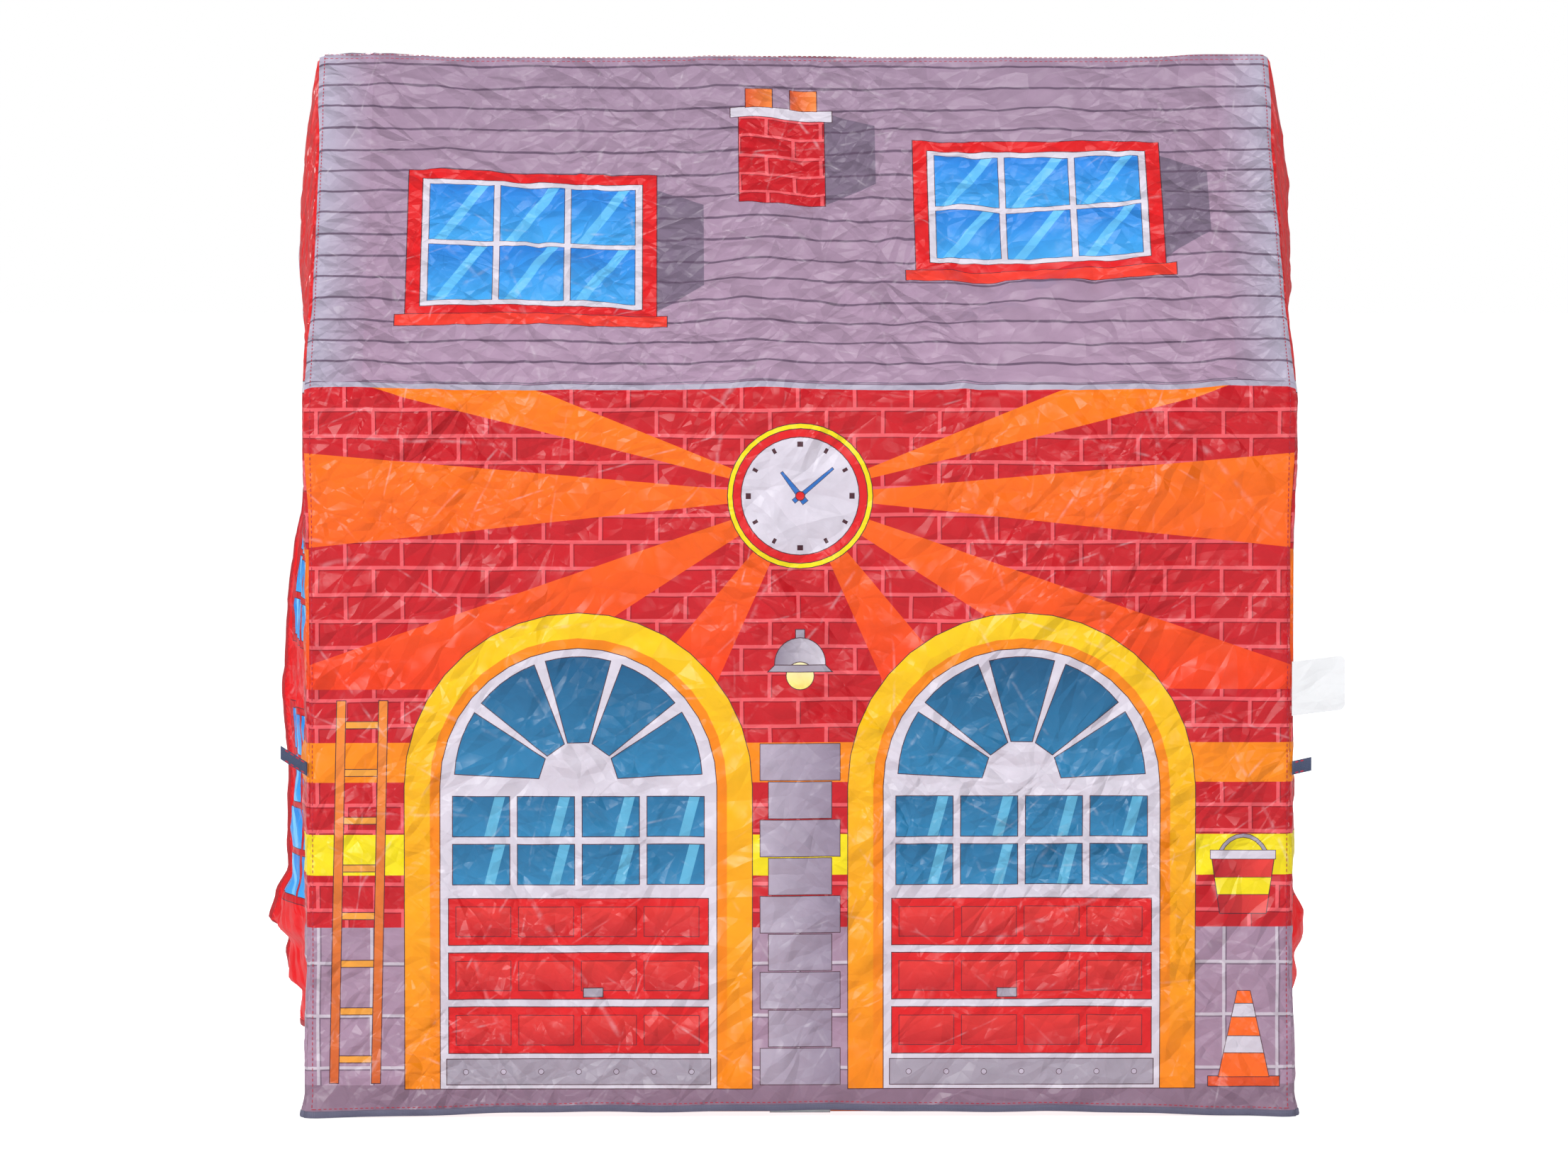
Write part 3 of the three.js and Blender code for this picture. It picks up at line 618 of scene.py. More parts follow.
board_line = math_node(patterns, "SUBTRACT", eased(patterns, board, 0.42, 0.45),
                       eased(patterns, board, 0.52, 0.55), clamp=True)
join(patterns, ends_out, Clapboard=math_node(patterns, "MULTIPLY", board_line, is_board),
     Mottle=noise(patterns, place, 38.0, 4.0, Roughness=0.6))
BRICK, BLOCK = (0.054, 0.0252), (0.051, 0.0503)
BEVEL = (-0.0018, 0.0018, 0.0)
for output, mask, shift, size, joint, offset in [
    ("Brick Light", is_brick, (0.0, 0.0, 0.0), BRICK, 0.0019, 0.5),
    ("Brick Dark", is_brick, BEVEL, BRICK, 0.0011, 0.5),
    ("Block Light", is_block, (0.0, 0.0, 0.0), BLOCK, 0.0016, 0.0),
    ("Block Dark", is_block, BEVEL, BLOCK, 0.0012, 0.0),
]:
    joints = masonry(patterns, moved(patterns, "ADD", drift, shift), *size, joint, offset)
    join(patterns, ends_out, **{output: math_node(patterns, "MULTIPLY", joints, mask)})


def facets(tree, place, turn, length, width):
    """How far each place is from the edges of long flat cells that are turned on the plan."""
    laid = add_node(tree, "ShaderNodeMapping", {"vector_type": "TEXTURE"}, Vector=place,
                    Rotation=(0.0, 0.0, turn), Scale=(length, width, 1.0)).outputs[0]
    return add_node(tree, "ShaderNodeTexVoronoi", {"feature": "DISTANCE_TO_EDGE", "voronoi_dimensions": "2D"},
                    Vector=laid, Scale=1.0, Randomness=1.0).outputs["Distance"]


def thread_ribs(tree, place, scale):
    """The ribs of a weave's two sets of threads."""
    return [add_node(tree, "ShaderNodeTexWave", {"bands_direction": direction}, Vector=place,
                     Scale=scale).outputs["Fac"] for direction in ("X", "Y")]


taffeta, ends_in, ends_out = node_group(
    "taffeta",
    [("Crease Size", "NodeSocketFloat", 1.0), ("Crease Slope", "NodeSocketFloat", 1.0)],
    [("Height", "NodeSocketFloat"), ("Roughness", "NodeSocketFloat"), ("Rub", "NodeSocketFloat")],
)
place = attribute(taffeta, "cloth_place", "Vector")
bend = noise(taffeta, place, 11.0, 2.0, "Color")
bent = moved(taffeta, "MULTIPLY_ADD", bend, (0.03, 0.03, 0.0), place)
areas = []
for shift, scale in ((0.0, 3.4), (7.3, 3.1), (13.1, 5.2)):
    shifted = moved(taffeta, "ADD", place, (shift, shift, 0.0))
    areas.append(eased(taffeta, noise(taffeta, shifted, scale, 3.0), 0.4, 0.6))
# Facets in metres: turn on the plan, length and width, slope, and the area they lie in
CREASES = [
    (0.5, 0.085, 0.05, 0.24, None), (-0.75, 0.075, 0.028, 0.36, 0), (0.95, 0.08, 0.024, 0.36, 1),
    (0.1, 0.026, 0.017, 0.24, 2), (-0.3, 0.011, 0.008, 0.07, 0),
]
RIB_PITCH, RIB_HEIGHT = 520.0, 0.000006
sized = add_node(taffeta, "ShaderNodeVectorMath", {"operation": "SCALE"}, i0=bent,
                 Scale=math_node(taffeta, "DIVIDE", 1.0, ends_in.outputs["Crease Size"])).outputs[0]
total = None
for turn, length, width, slope, area in CREASES:
    rise = math_node(taffeta, "MULTIPLY", facets(taffeta, sized, turn, length, width), slope * width)
    rise = rise if area is None else math_node(taffeta, "MULTIPLY", rise, areas[area])
    total = rise if total is None else math_node(taffeta, "ADD", total, rise)
for name in ("Crease Slope", "Crease Size"):
    total = math_node(taffeta, "MULTIPLY", total, ends_in.outputs[name])
ribbed = math_node(taffeta, "ADD", *thread_ribs(taffeta, place, RIB_PITCH))
soft = noise(taffeta, bent, 70.0, 3.0)
join(taffeta, ends_out, Roughness=math_node(taffeta, "MULTIPLY_ADD", soft, 0.16, 0.3),
     Height=math_node(taffeta, "ADD", total, math_node(taffeta, "MULTIPLY", ribbed, RIB_HEIGHT)))
# Long straight creases, pale partly from rubbing and partly as a painted highlight: turn on the plan, length,
# spacing, area
RUBBED_AND_SHEEN_LINES = [(1.32, 0.4, 0.1, 0), (-0.62, 0.34, 0.12, 1), (0.5, 0.3, 0.09, 2)]
straight = moved(taffeta, "MULTIPLY_ADD", bend, (0.008, 0.008, 0.0), place)
most = None
for turn, length, width, area in RUBBED_AND_SHEEN_LINES:
    line = eased(taffeta, facets(taffeta, straight, turn, length, width), 0.014, 0.0)
    line = math_node(taffeta, "MULTIPLY", line, areas[area])
    most = line if most is None else math_node(taffeta, "MAXIMUM", most, line)
join(taffeta, ends_out, Rub=math_node(taffeta, "MULTIPLY", most, eased(taffeta, soft, 0.42, 0.7)))

# Lines of the repeating patterns: strength and colour
PRINTED_LINES = [("Clapboard", 0.85, "5c4860"), ("Brick Dark", 0.6, "70061a"),
                 ("Brick Light", 0.95, "ee5c64"), ("Block Dark", 0.6, "5a4a5e"),
                 ("Block Light", 0.85, "d2c8d4")]
# Paleness of the crease lines (partly rub, partly painted highlight), paleness of the inside, and the painted
# glow inside
RUB_AND_SHEEN_PALENESS, INSIDE_PALENESS, INSIDE_PAINTED_GLOW = 0.24, 0.14, 0.22


def printed_taffeta(name, crease_size=1.0, crease_slope=1.0, shine=0.5, glow=0.0):
    """Taffeta in the colours printed on the panel, paler where the print shows through inside, with a painted
    glow of light through the cloth.
    """
    material, shader = principled(name, IOR=1.42, Specular_IOR_Level=shine)
    tree = material.node_tree
    colour = attribute(tree, "print_tint", "Color")
    drawn = effect(tree, patterns)
    cloth = effect(tree, taffeta, Crease_Size=crease_size, Crease_Slope=crease_slope)

    def tinged(mask, strength, code):
        return mix_colour(tree, math_node(tree, "MULTIPLY", mask, strength), colour, linear(code))

    for output, strength, code in PRINTED_LINES:
        colour = tinged(drawn[output], strength, code)
    shade = ranged(tree, drawn["Mottle"], i1=0.3, i2=0.7, i3=0.93, i4=1.04)
    colour = mix_colour(tree, 1.0, colour, shade, "MULTIPLY")
    # Painted highlight, partly rub: the print goes pale along the long creases
    colour = tinged(cloth["Rub"], RUB_AND_SHEEN_PALENESS, "efe6ee")
    within = add_node(tree, "ShaderNodeNewGeometry").outputs["Backfacing"]
    colour = tinged(within, INSIDE_PALENESS, "e8ccd2")
    give_finish(tree, shader, colour, cloth["Roughness"], cloth["Height"], 1.0, 1.0)
    # Painted light: the cloth gives off its own colour inside, and outside where a glow is asked for, as if
    # lit through from behind
    lit = math_node(tree, "MAXIMUM", math_node(tree, "MULTIPLY", within, INSIDE_PAINTED_GLOW), glow)
    join(tree, shader, Emission_Color=mix_colour(tree, lit, linear("000000"), colour))
    shader.inputs["Emission Strength"].default_value = 1.0
    return material


# Cover. One long printed panel on each side runs from the hem up the wall, over the eave tube and up
# the roof to the ridge seam. Its edges wrap half way round the posts and rafters to the gable seams.
def kept_lift(raw, free):
    """The relief of cloth that is free to move, and only its outward part where it lies on a tube."""
    return np.where(raw > 0, raw * (0.3 + 0.7 * free), raw * free)


def seam_dip(stand, nearness):
    """How far a seam is drawn in between the connectors."""
    return SEAM_DIP * (1 - (stand - TUBE_STAND) / (NODE_STAND - TUBE_STAND)) * nearness


def cover_surface(face, relief):
    """Places on a cover panel's outside, and the way outward there. Face is -1 in front, 1 behind."""
    def at(s, t):
        x = np.clip(s, -HALF_LENGTH, HALF_LENGTH)
        wrap = (s - x) / WRAP_RADIUS
        rise = np.clip(t - ROOF_START, 0, RAFTER)
        tilt = (np.clip(t - EAVE, 0, LOW_ARC) + np.clip(t - ROOF_END, 0, TOP_ARC)) / WRAP_RADIUS
        on_wall = t < EAVE + LOW_ARC / 2
        gap = np.where(on_wall, np.minimum(t - BASE, EAVE - t), np.minimum(rise, RAFTER - rise))
        stand = stand_off(np.hypot(HALF_LENGTH - np.abs(x), np.clip(gap, 0, None)))
        share = np.clip(np.where(on_wall, (t - BASE) / (EAVE - BASE), rise / RAFTER), 0, 1)
        free = np.sqrt(np.sin(math.pi * share)) * (1 - (x / HALF_LENGTH) ** 4)
        nearness = np.maximum(smooth_step((np.abs(s) - COVER_EDGE + SEAM_REACH) / SEAM_REACH),
                              smooth_step((t - COVER_TOP + SEAM_REACH) / SEAM_REACH))
        lift = kept_lift(relief.at(s, t), free) - seam_dip(stand, nearness)
        height = stand + lift + corner_flare(t, HALF_LENGTH - np.abs(x))
        centre = np.stack([x, face * (HALF_DEPTH - rise * math.cos(ROOF_ANGLE)),
                           np.minimum(t, EAVE) + rise * math.sin(ROOF_ANGLE)], 1)
        out = np.stack([np.sin(wrap), face * np.cos(tilt) * np.cos(wrap), np.sin(tilt) * np.cos(wrap)], 1)
        return centre + out * height[:, None], out
    return at


# Slack and main folds: across and up at each end as shares of the wall or the roof, and the depth
WALL_SAG, ROOF_SAG = -7, -11
FOLD_WIDTH, FOLD_DEPTH = 62, 8
FRONT_WALL_FOLDS = [
    (-0.95, 0.98, -0.42, 0.52, 0.9), (-0.9, 0.7, -0.62, 0.1, -0.5), (-0.1, 0.95, -0.06, 0.05, 0.75),
    (0.95, 0.98, 0.36, 0.66, 1), (0.92, 0.8, 0.5, 0.28, -0.7), (0.62, 0.9, 0.72, 0.1, 0.6),
    (0.2, 0.3, 0.55, 0.06, 0.5),
]
FRONT_ROOF_FOLDS = [
    (-0.9, 0.9, -0.5, 0.1, 0.6), (-0.12, 0.98, -0.08, 0.02, 0.9), (0.9, 0.96, 0.45, 0.4, -0.7),
    (0.95, 0.3, 0.6, 0.72, 0.8),
]
BACK_WALL_FOLDS = [
    (-0.95, 0.98, -0.4, 0.6, 1), (-0.5, 0.9, -0.55, 0.1, 0.6), (0.04, 0.95, 0.02, 0.05, 0.7),
    (0.95, 0.98, 0.42, 0.56, 0.8), (0.85, 0.6, 0.5, 0.12, -0.6),
]
BACK_ROOF_FOLDS = [(-0.9, 0.92, -0.5, 0.2, 0.7), (0.05, 0.98, 0.03, 0.02, 0.8), (0.9, 0.94, 0.5, 0.3, -0.6)]
# Lines where it lay folded in its bag: upright ones by place across, level ones by height on the plan
PACKED_UPRIGHT, PACKED_LEVEL = (-236, -22, 214), (176, 402, 640, 864, 1060)
# Creases at random: how many, their lengths, the reach of their facets, and the depth
COVER_CRUMPLES = [(620, (90, 320), (14, 40), 2.8), (3400, (28, 130), (6, 18), 1.7),
                  (5600, (14, 50), (4.5, 9), 0.7)]
# Creases that run out from where the frame's corners pull: height, turn, spread, how many, lengths and depth
CORNER_PULLS = [
    (EAVE - 12, 2.4, 0.75, 26, (60, 240), 1.7), (BASE + 6, 0.8, 0.7, 22, (50, 200), 1.5),
    (ROOF_START + 8, 0.8, 0.7, 18, (60, 220), 1.5), (ROOF_END - 8, 2.4, 0.7, 26, (60, 260), 1.8),
]


def cover_relief(wall_folds, roof_folds, seed):
    """The slack, folds, packing lines and creases of a cover panel."""
    relief = Relief((-COVER_EDGE - 4, -4), (COVER_EDGE + 4, COVER_TOP + 4))
    s, t = relief.places()
    across = np.clip(s / HALF_LENGTH, -1, 1)
    for start, run, sag, folds in ((BASE, EAVE - BASE, WALL_SAG, wall_folds),
                                   (ROOF_START, RAFTER, ROOF_SAG, roof_folds)):
        share = np.clip((t - start) / run, 0, 1)
        relief.height += sag * (1 - across ** 2) * np.sin(math.pi * share)
        for s0, up0, s1, up1, depth in folds:
            relief.fold((s0 * HALF_LENGTH, start + up0 * run), (s1 * HALF_LENGTH, start + up1 * run),
                        FOLD_WIDTH, depth * FOLD_DEPTH)
    rng = np.random.default_rng(seed)
    for centre in PACKED_UPRIGHT:
        lean = math.pi / 2 + rng.uniform(-0.01, 0.01)
        relief.crease((centre, COVER_TOP / 2), lean, COVER_TOP, (46, 52), 1.7)
    for centre in PACKED_LEVEL:
        relief.crease((0, centre), rng.uniform(-0.012, 0.012), 2 * HALF_LENGTH, (34, 42), 1.1)

    def busy(s, t):
        """The share of creases kept at a place: more to the right and low down."""
        return 0.45 + 0.4 * float(smooth_step((s + 60) / 260)) + 0.25 * float(smooth_step((700 - t) / 500))

    for count, lengths, reaches, depth in COVER_CRUMPLES:
        relief.crumple(rng, count, lengths, reaches, depth, busy)
    for side in (-1, 1):
        for height, turn, spread, count, lengths, depth in CORNER_PULLS:
            corner = (side * HALF_LENGTH, height)
            relief.fan(rng, corner, math.pi / 2 + side * turn, spread, count, lengths, depth)
    for place in rng.uniform((-400, 60), (400, ROOF_END - 20), (26, 2)):
        relief.fan(rng, place, rng.uniform(0, 2 * math.pi), 1.0, 9, (30, 120), 1.3)
    drawn_in = np.sin(s / 2.6 + 1.7 * np.sin(s / 19)) * np.exp(-np.clip(COVER_TOP - t, 0, None) / 9)
    relief.height += 0.6 * drawn_in
    return relief


ROOF_TINT = (linear("ad8fa9"), linear("9f869e"), 1, ROOF_START, ROOF_END)
# Painted highlight: the pale band where the roof cloth bends over the eave tube
EAVE_HIGHLIGHT_TINT = (linear("b0a8bc"),)
BRICK_TINT = (linear("c8101f"),)
RED_TINT = (linear("e0161c"),)
SILL_TINT = (linear("f23a2a"),)
ORANGE_TINT = (linear("fb8a04"),)
CONE_TINT, CONE_FOOT_TINT = (linear("ff6a1c"),), (linear("e4501e"),)
RUNG_TINT = (linear("f0a13c"),)
YELLOW_TINT = (linear("f6e008"),)
GOLD_TINT = (linear("fb8c06"), linear("fad006"), 1, 60, 500)
BLOCK_TINT = (linear("a88aa2"),)
GROUND_TINT = (linear("8f7489"),)
WHITE_TINT = (linear("d9d2df"),)
SHADE_TINT = (linear("bfb4c6"),)
STEEL_TINT = (linear("a79ead"),)
SHADOW_TINT = (linear("7a6a80"),)
HAND_TINT = (linear("2a6fc0"),)
GLINT_TINT, DARK_GLINT_TINT = (linear("62bdf4"),), (linear("5fb2d8"),)


def deep_orange_tint(bottom, top):
    return (linear("f23c0c"), linear("ff7a04"), 1, bottom, top)


def glass_tint(bottom, top):
    return (linear("46aef0"), linear("1a74d8"), 1, bottom, top)


def dark_glass_tint(bottom, top):
    return (linear("2f86b8"), linear("155a86"), 1, bottom, top)


LINE, THIN_LINE = 0.8, 0.6
WALL_TOP = EAVE + 8
# Garage doors. Heights are from the floor, places across from the door's middle
ARCH_FOOT, ARCH_SPRING = 28, 318
SURROUND_RADIUS, TRIM_RADIUS, OPENING_RADIUS = 166, 142, 132
FAN_PANES, FAN_START, FAN_END, FAN_MIDDLE, FAN_RADIUS = 5, 0.08, 0.92, ARCH_SPRING + 6, 118
HUB_RADIUS, HUB_PLATE_HALF, HUB_PLATE_HIGH = 38, 34, 6
PANES_LEFT, PANES_LOW, PANE_PITCH, PANE_RISE, PANE_WIDE, PANE_HIGH = -120, 224, 62, 46, 54, 38
PANE_SHADE = 60
BOARD_HALF, BOARDS_LOW, BOARD_RISE, BOARD_HIGH = 124, 62, 52, 44
FIELD_LEFT, FIELD_PITCH, FIELD_WIDE, FIELD_EDGE = -117, 60, 52, 8
PLATE_HALF, PLATE_LOW, PLATE_HIGH = 126, 32, 56
RIVETS, RIVET_LEFT, RIVET_PITCH, RIVET_RADIUS = 7, -108, 36, 2.4
HANDLE_ASIDE, HANDLE_HALF, HANDLE_LOW, HANDLE_TOP = 14, 9, 116, 124


def garage_door(art, s, handle_side):
    """An arched door in a yellow surround: a fan of panes over two rows of windows and red panels."""
    art.arch(s, ARCH_FOOT, ARCH_SPRING, SURROUND_RADIUS, GOLD_TINT, line=LINE)
    art.arch(s, ARCH_FOOT, ARCH_SPRING, TRIM_RADIUS, ORANGE_TINT)
    art.arch(s, ARCH_FOOT, ARCH_SPRING, OPENING_RADIUS, WHITE_TINT, line=LINE)
    fan = (s, FAN_MIDDLE)
    for k in range(FAN_PANES):
        first, last = [math.pi * (k + share) / FAN_PANES for share in (FAN_START, FAN_END)]
        rim = arc(fan, FAN_RADIUS, [first + (last - first) * i / 5 for i in range(6)])
        hub = arc(fan, HUB_RADIUS, (last, first))
        art.shape(rim + hub, dark_glass_tint(ARCH_SPRING, ARCH_SPRING + FAN_RADIUS), line=LINE)
    art.box(s - HUB_PLATE_HALF, FAN_MIDDLE, s + HUB_PLATE_HALF, FAN_MIDDLE + HUB_PLATE_HIGH, WHITE_TINT)
    for row in range(2):
        low = PANES_LOW + PANE_RISE * row
        top = low + PANE_HIGH
        for k in range(4):
            left = s + PANES_LEFT + PANE_PITCH * k
            art.box(left, low, left + PANE_WIDE, top, dark_glass_tint(low, low + PANE_SHADE), line=LINE)
            art.band((left + 30, left + 40), low, (left + 40, left + 50), top, DARK_GLINT_TINT)
    for row in range(3):
        low = BOARDS_LOW + BOARD_RISE * row
        top = low + BOARD_HIGH
        art.box(s - BOARD_HALF, low, s + BOARD_HALF, top, RED_TINT, line=LINE)
        for k in range(4):
            left = s + FIELD_LEFT + FIELD_PITCH * k
            field = (linear("c21a26"), linear("ee3a34"), 1, low, top)
            art.box(left, low + FIELD_EDGE, left + FIELD_WIDE, top - FIELD_EDGE, field, line=THIN_LINE)
    art.box(s - PLATE_HALF, PLATE_LOW, s + PLATE_HALF, PLATE_HIGH, STEEL_TINT, line=LINE)
    for k in range(RIVETS):
        place = s + RIVET_LEFT + RIVET_PITCH * k
        art.disc(place, (PLATE_LOW + PLATE_HIGH) / 2, RIVET_RADIUS, SHADE_TINT, line=0.5, points=10)
    handle = s + HANDLE_ASIDE * handle_side
    art.box(handle - HANDLE_HALF, HANDLE_LOW, handle + HANDLE_HALF, HANDLE_TOP, STEEL_TINT, line=LINE)


LAMP_SHADE, LAMP_RIM, LAMP_BULB, BRACKET_HALF, BRACKET_HIGH = 24, 30, 13, 4, 30


def wall_lamp(art, s, t):
    """A round-topped wall lamp on a bracket."""
    left, right = s - LAMP_SHADE, s + LAMP_SHADE
    art.box(s - BRACKET_HALF, t - 4, s + BRACKET_HALF, t + BRACKET_HIGH, STEEL_TINT, line=LINE)
    art.arch(s, t - 8, t - 2, LAMP_SHADE, (linear("8a7f92"), linear("d8d2de"), 0, left, right), line=LINE)
    art.disc(s, t - 14, LAMP_BULB, (linear("ffe46a"), linear("fff6c4"), 1, t - 28, t), line=LINE)
    art.band((s - LAMP_RIM, s + LAMP_RIM), t - 10, (left, right), t - 4, STEEL_TINT, line=LINE)


def turned(s, t, turn, points):
    """Places given along and across a direction, from a middle."""
    along, across = math.cos(turn), math.sin(turn)
    return [(s + along * r - across * w, t + across * r + along * w) for r, w in points]


CLOCK_RADIUS, CLOCK_RIMS = 60, [(9, YELLOW_TINT), (4, RED_TINT), (-4, WHITE_TINT)]
MARK_INNER, MARK_OUTER, QUARTER_MARK, HOUR_MARK = CLOCK_RADIUS - 13, CLOCK_RADIUS - 8, 2.8, 1.6
# A hand's turn in degrees, its length as a share of the radius and half its width
HANDS, HAND_TAIL = [(128, 0.48, 3), (40, 0.68, 2)], 8


def wall_clock(art, s, t):
    """A plain round wall clock."""
    for rim, paint in CLOCK_RIMS:
        art.disc(s, t, CLOCK_RADIUS + rim, paint, line=LINE, points=40)
    for k in range(12):
        wide = HOUR_MARK if k % 3 else QUARTER_MARK
        mark = [(MARK_INNER, -wide), (MARK_OUTER, -wide), (MARK_OUTER, wide), (MARK_INNER, wide)]
        art.shape(turned(s, t, math.pi * k / 6, mark), LINE_TINT)
    for turn, share, wide in HANDS:
        length = CLOCK_RADIUS * share
        hand = [(-HAND_TAIL, -wide), (length, -1), (length, 1), (-HAND_TAIL, wide)]
        art.shape(turned(s, t, math.radians(turn), hand), HAND_TINT, line=0.5)
    art.disc(s, t, 4, RED_TINT, line=LINE, points=12)


RUNGS, RUNG_HALF, RUNG_RISE, RAIL_ASIDE, RAIL_HALF = 8, 17, 3, 20, 4


def ladder(art, s, low, high, lean):
    """A wooden ladder against the wall."""
    def at(across, share):
        return (s + across + lean * share, low + (high - low) * share)
    for k in range(RUNGS):
        share = (k + 0.5) / RUNGS
        left, right = at(-RUNG_HALF, share), at(RUNG_HALF, share)
        art.box(left[0], left[1] - RUNG_RISE, right[0], right[1] + RUNG_RISE, RUNG_TINT, line=LINE)
    for middle_line in (-RAIL_ASIDE, RAIL_ASIDE):
        left, right = middle_line - RAIL_HALF, middle_line + RAIL_HALF
        art.shape([at(left, 0), at(right, 0), at(right, 1), at(left, 1)],
                  (linear("d4622a"), linear("f08a34"), 1, low, high), line=LINE)


CONE_FOOT_HALF, CONE_FOOT_HIGH, CONE_HALF, CONE_TAPER, CONE_HIGH = 34, 9, 24, 18, 82
CONE_STRIPES = [(0, 0.28, CONE_TINT), (0.28, 0.48, WHITE_TINT), (0.48, 0.7, CONE_TINT),
                (0.7, 0.86, WHITE_TINT), (0.86, 1, CONE_TINT)]


def cone(art, s, low):
    """A striped traffic cone."""
    foot = low + CONE_FOOT_HIGH
    art.box(s - CONE_FOOT_HALF, low, s + CONE_FOOT_HALF, foot, CONE_FOOT_TINT, line=LINE)

    def level(share):
        """The two edges and the height at a share of the way up."""
        half = CONE_HALF - CONE_TAPER * share
        return (s - half, s + half), foot + CONE_HIGH * share

    for first, last, paint in CONE_STRIPES:
        art.band(*level(first), *level(last), paint, line=0.7)


BUCKET_EAR, BUCKET_HANDLE, HANDLE_RISE, HANDLE_WIRE = 42, 27, 34, 3


def bucket(art, s, t):
    """A bucket that hangs on a wall hook."""
    half_turn = [math.pi * k / 12 for k in range(13)]
    ear, inner = (s, t + BUCKET_EAR), BUCKET_HANDLE - HANDLE_WIRE
    handle = arc(ear, BUCKET_HANDLE, half_turn, HANDLE_RISE)
    handle += arc(ear, inner, half_turn, HANDLE_RISE - HANDLE_WIRE)[::-1]
    art.shape(handle, STEEL_TINT, line=THIN_LINE)
    # Body, band and rim: foot and head above the bucket's foot, and half the width at each
    for low, high, foot, head, paint, line in (
        (0, 56, 22, 30, (linear("b01524"), linear("f0413a"), 0, s - 26, s + 26), LINE),
        (18, 34, 24.4, 27, YELLOW_TINT, THIN_LINE), (52, 60, 31, 31, WHITE_TINT, THIN_LINE),
    ):
        art.band((s - foot, s + foot), t + low, (s - head, s + head), t + high, paint, line=line)


SHADOW_REACH, SHADOW_SLOPE, FRAME_EDGE, SILL_EDGE, SILL_FOOT, SILL_TOP = 60, 30, 14, 24, 28, 12
WINDOW_BAR, WINDOW_SHADE, GLINT = 7, 20, (5, 16)


def skylight(art, s, r, width, high):
    """A roof window with a red frame, white bars and blue panes, and its shadow on the boards."""
    t = ROOF_START + r
    west, east, far = s - width / 2, s + width / 2, s + width / 2 + SHADOW_REACH
    art.shape([(east, t - 16), (far, t + SHADOW_SLOPE), (far, t + high - SHADOW_SLOPE), (east, t + high)],
              SHADOW_TINT, 1)
    art.box(west - FRAME_EDGE, t - FRAME_EDGE, east + FRAME_EDGE, t + high + FRAME_EDGE, RED_TINT, line=LINE)
    art.box(west - SILL_EDGE, t - SILL_FOOT, east + SILL_EDGE, t - SILL_TOP, SILL_TINT, line=LINE)
    art.box(west, t, east, t + high, WHITE_TINT, line=LINE)
    across, up = width - WINDOW_BAR, high - WINDOW_BAR
    for k in range(3):
        for row in range(2):
            left, low = west + WINDOW_BAR + k * across / 3, t + WINDOW_BAR + row * up / 2
            right, top = left + across / 3 - WINDOW_BAR, low + up / 2 - WINDOW_BAR
            glass = glass_tint(low - WINDOW_SHADE, top + WINDOW_SHADE)
            art.box(left, low, right, top, glass, line=THIN_LINE)
            art.band((left + GLINT[0], left + GLINT[1]), low, (right - GLINT[1], right - GLINT[0]), top,
                     GLINT_TINT)


STACK_HALF, CAP_HALF, CAP_HIGH, POT_ASIDE, POT_HALF, POT_HIGH = 42, 50, 14, 22, 13, 26


def chimney(art, s, r, high):
    """A brick chimney with a pale cap."""
    t = ROOF_START + r
    top, cap = t + high, t + high + CAP_HIGH
    art.shape([(s + 40, t), (s + 92, t + SHADOW_SLOPE), (s + 92, top - 10), (s + 40, cap)], SHADOW_TINT, 1)
    art.box(s - STACK_HALF, t, s + STACK_HALF, top, BRICK_TINT, 2, line=LINE)
    art.box(s - CAP_HALF, top, s + CAP_HALF, cap, WHITE_TINT, line=LINE)
    for aside in (-POT_ASIDE, POT_ASIDE):
        left, right = s + aside - POT_HALF, s + aside + POT_HALF
        art.box(left, cap, right, cap + POT_HIGH, (linear("d4542a"), linear("f4863c"), 0, left, right),
                line=LINE)


RAY_REACH = 560


def rays(art, s, t, turns, paint):
    """Broad rays from a point, each between two turns in degrees."""
    for pair in turns:
        art.shape([(s, t), *arc((s, t), RAY_REACH, [math.radians(turn) for turn in pair])], paint)


# Heights on the wall: the ground strip, the blocks, the yellow and the orange band, and the rays' foot
GROUND_TOP, BLOCK_TOP, YELLOW_BAND, ORANGE_BAND, RAY_FOOT = 32, 183, (233, 272), (322, 360), 411
RAYS = [(-6, 5), (-33, -19), (14, 22), (-66, -50), (158, 166), (175, 186), (199, 213), (230, 246)]


def wall_bands(art, wide):
    """The bands that run round the tent."""
    for low, high, paint, kind in (
        (*ORANGE_BAND, ORANGE_TINT, 0), (*YELLOW_BAND, YELLOW_TINT, 0),
        (GROUND_TOP, BLOCK_TOP, BLOCK_TINT, 3), (-6, GROUND_TOP, GROUND_TINT, 0),
    ):
        art.box(-wide, low, wide, high, paint, kind)


PRINT_OVERRUN = 4
GARAGE_ASIDE, LAMP_UP, CLOCK_UP = 212, 438, 596
PIER_BLOCKS, PIER_HALVES, PIER_RISE, PIER_BLOCK_HIGH = 9, (38, 30), 36.5, 34.5
PIER_TINT = (linear("b3a7ba"), linear("93859b"), 0, -30, 40)
TUBE_HIGHLIGHT_WIDTH = 46


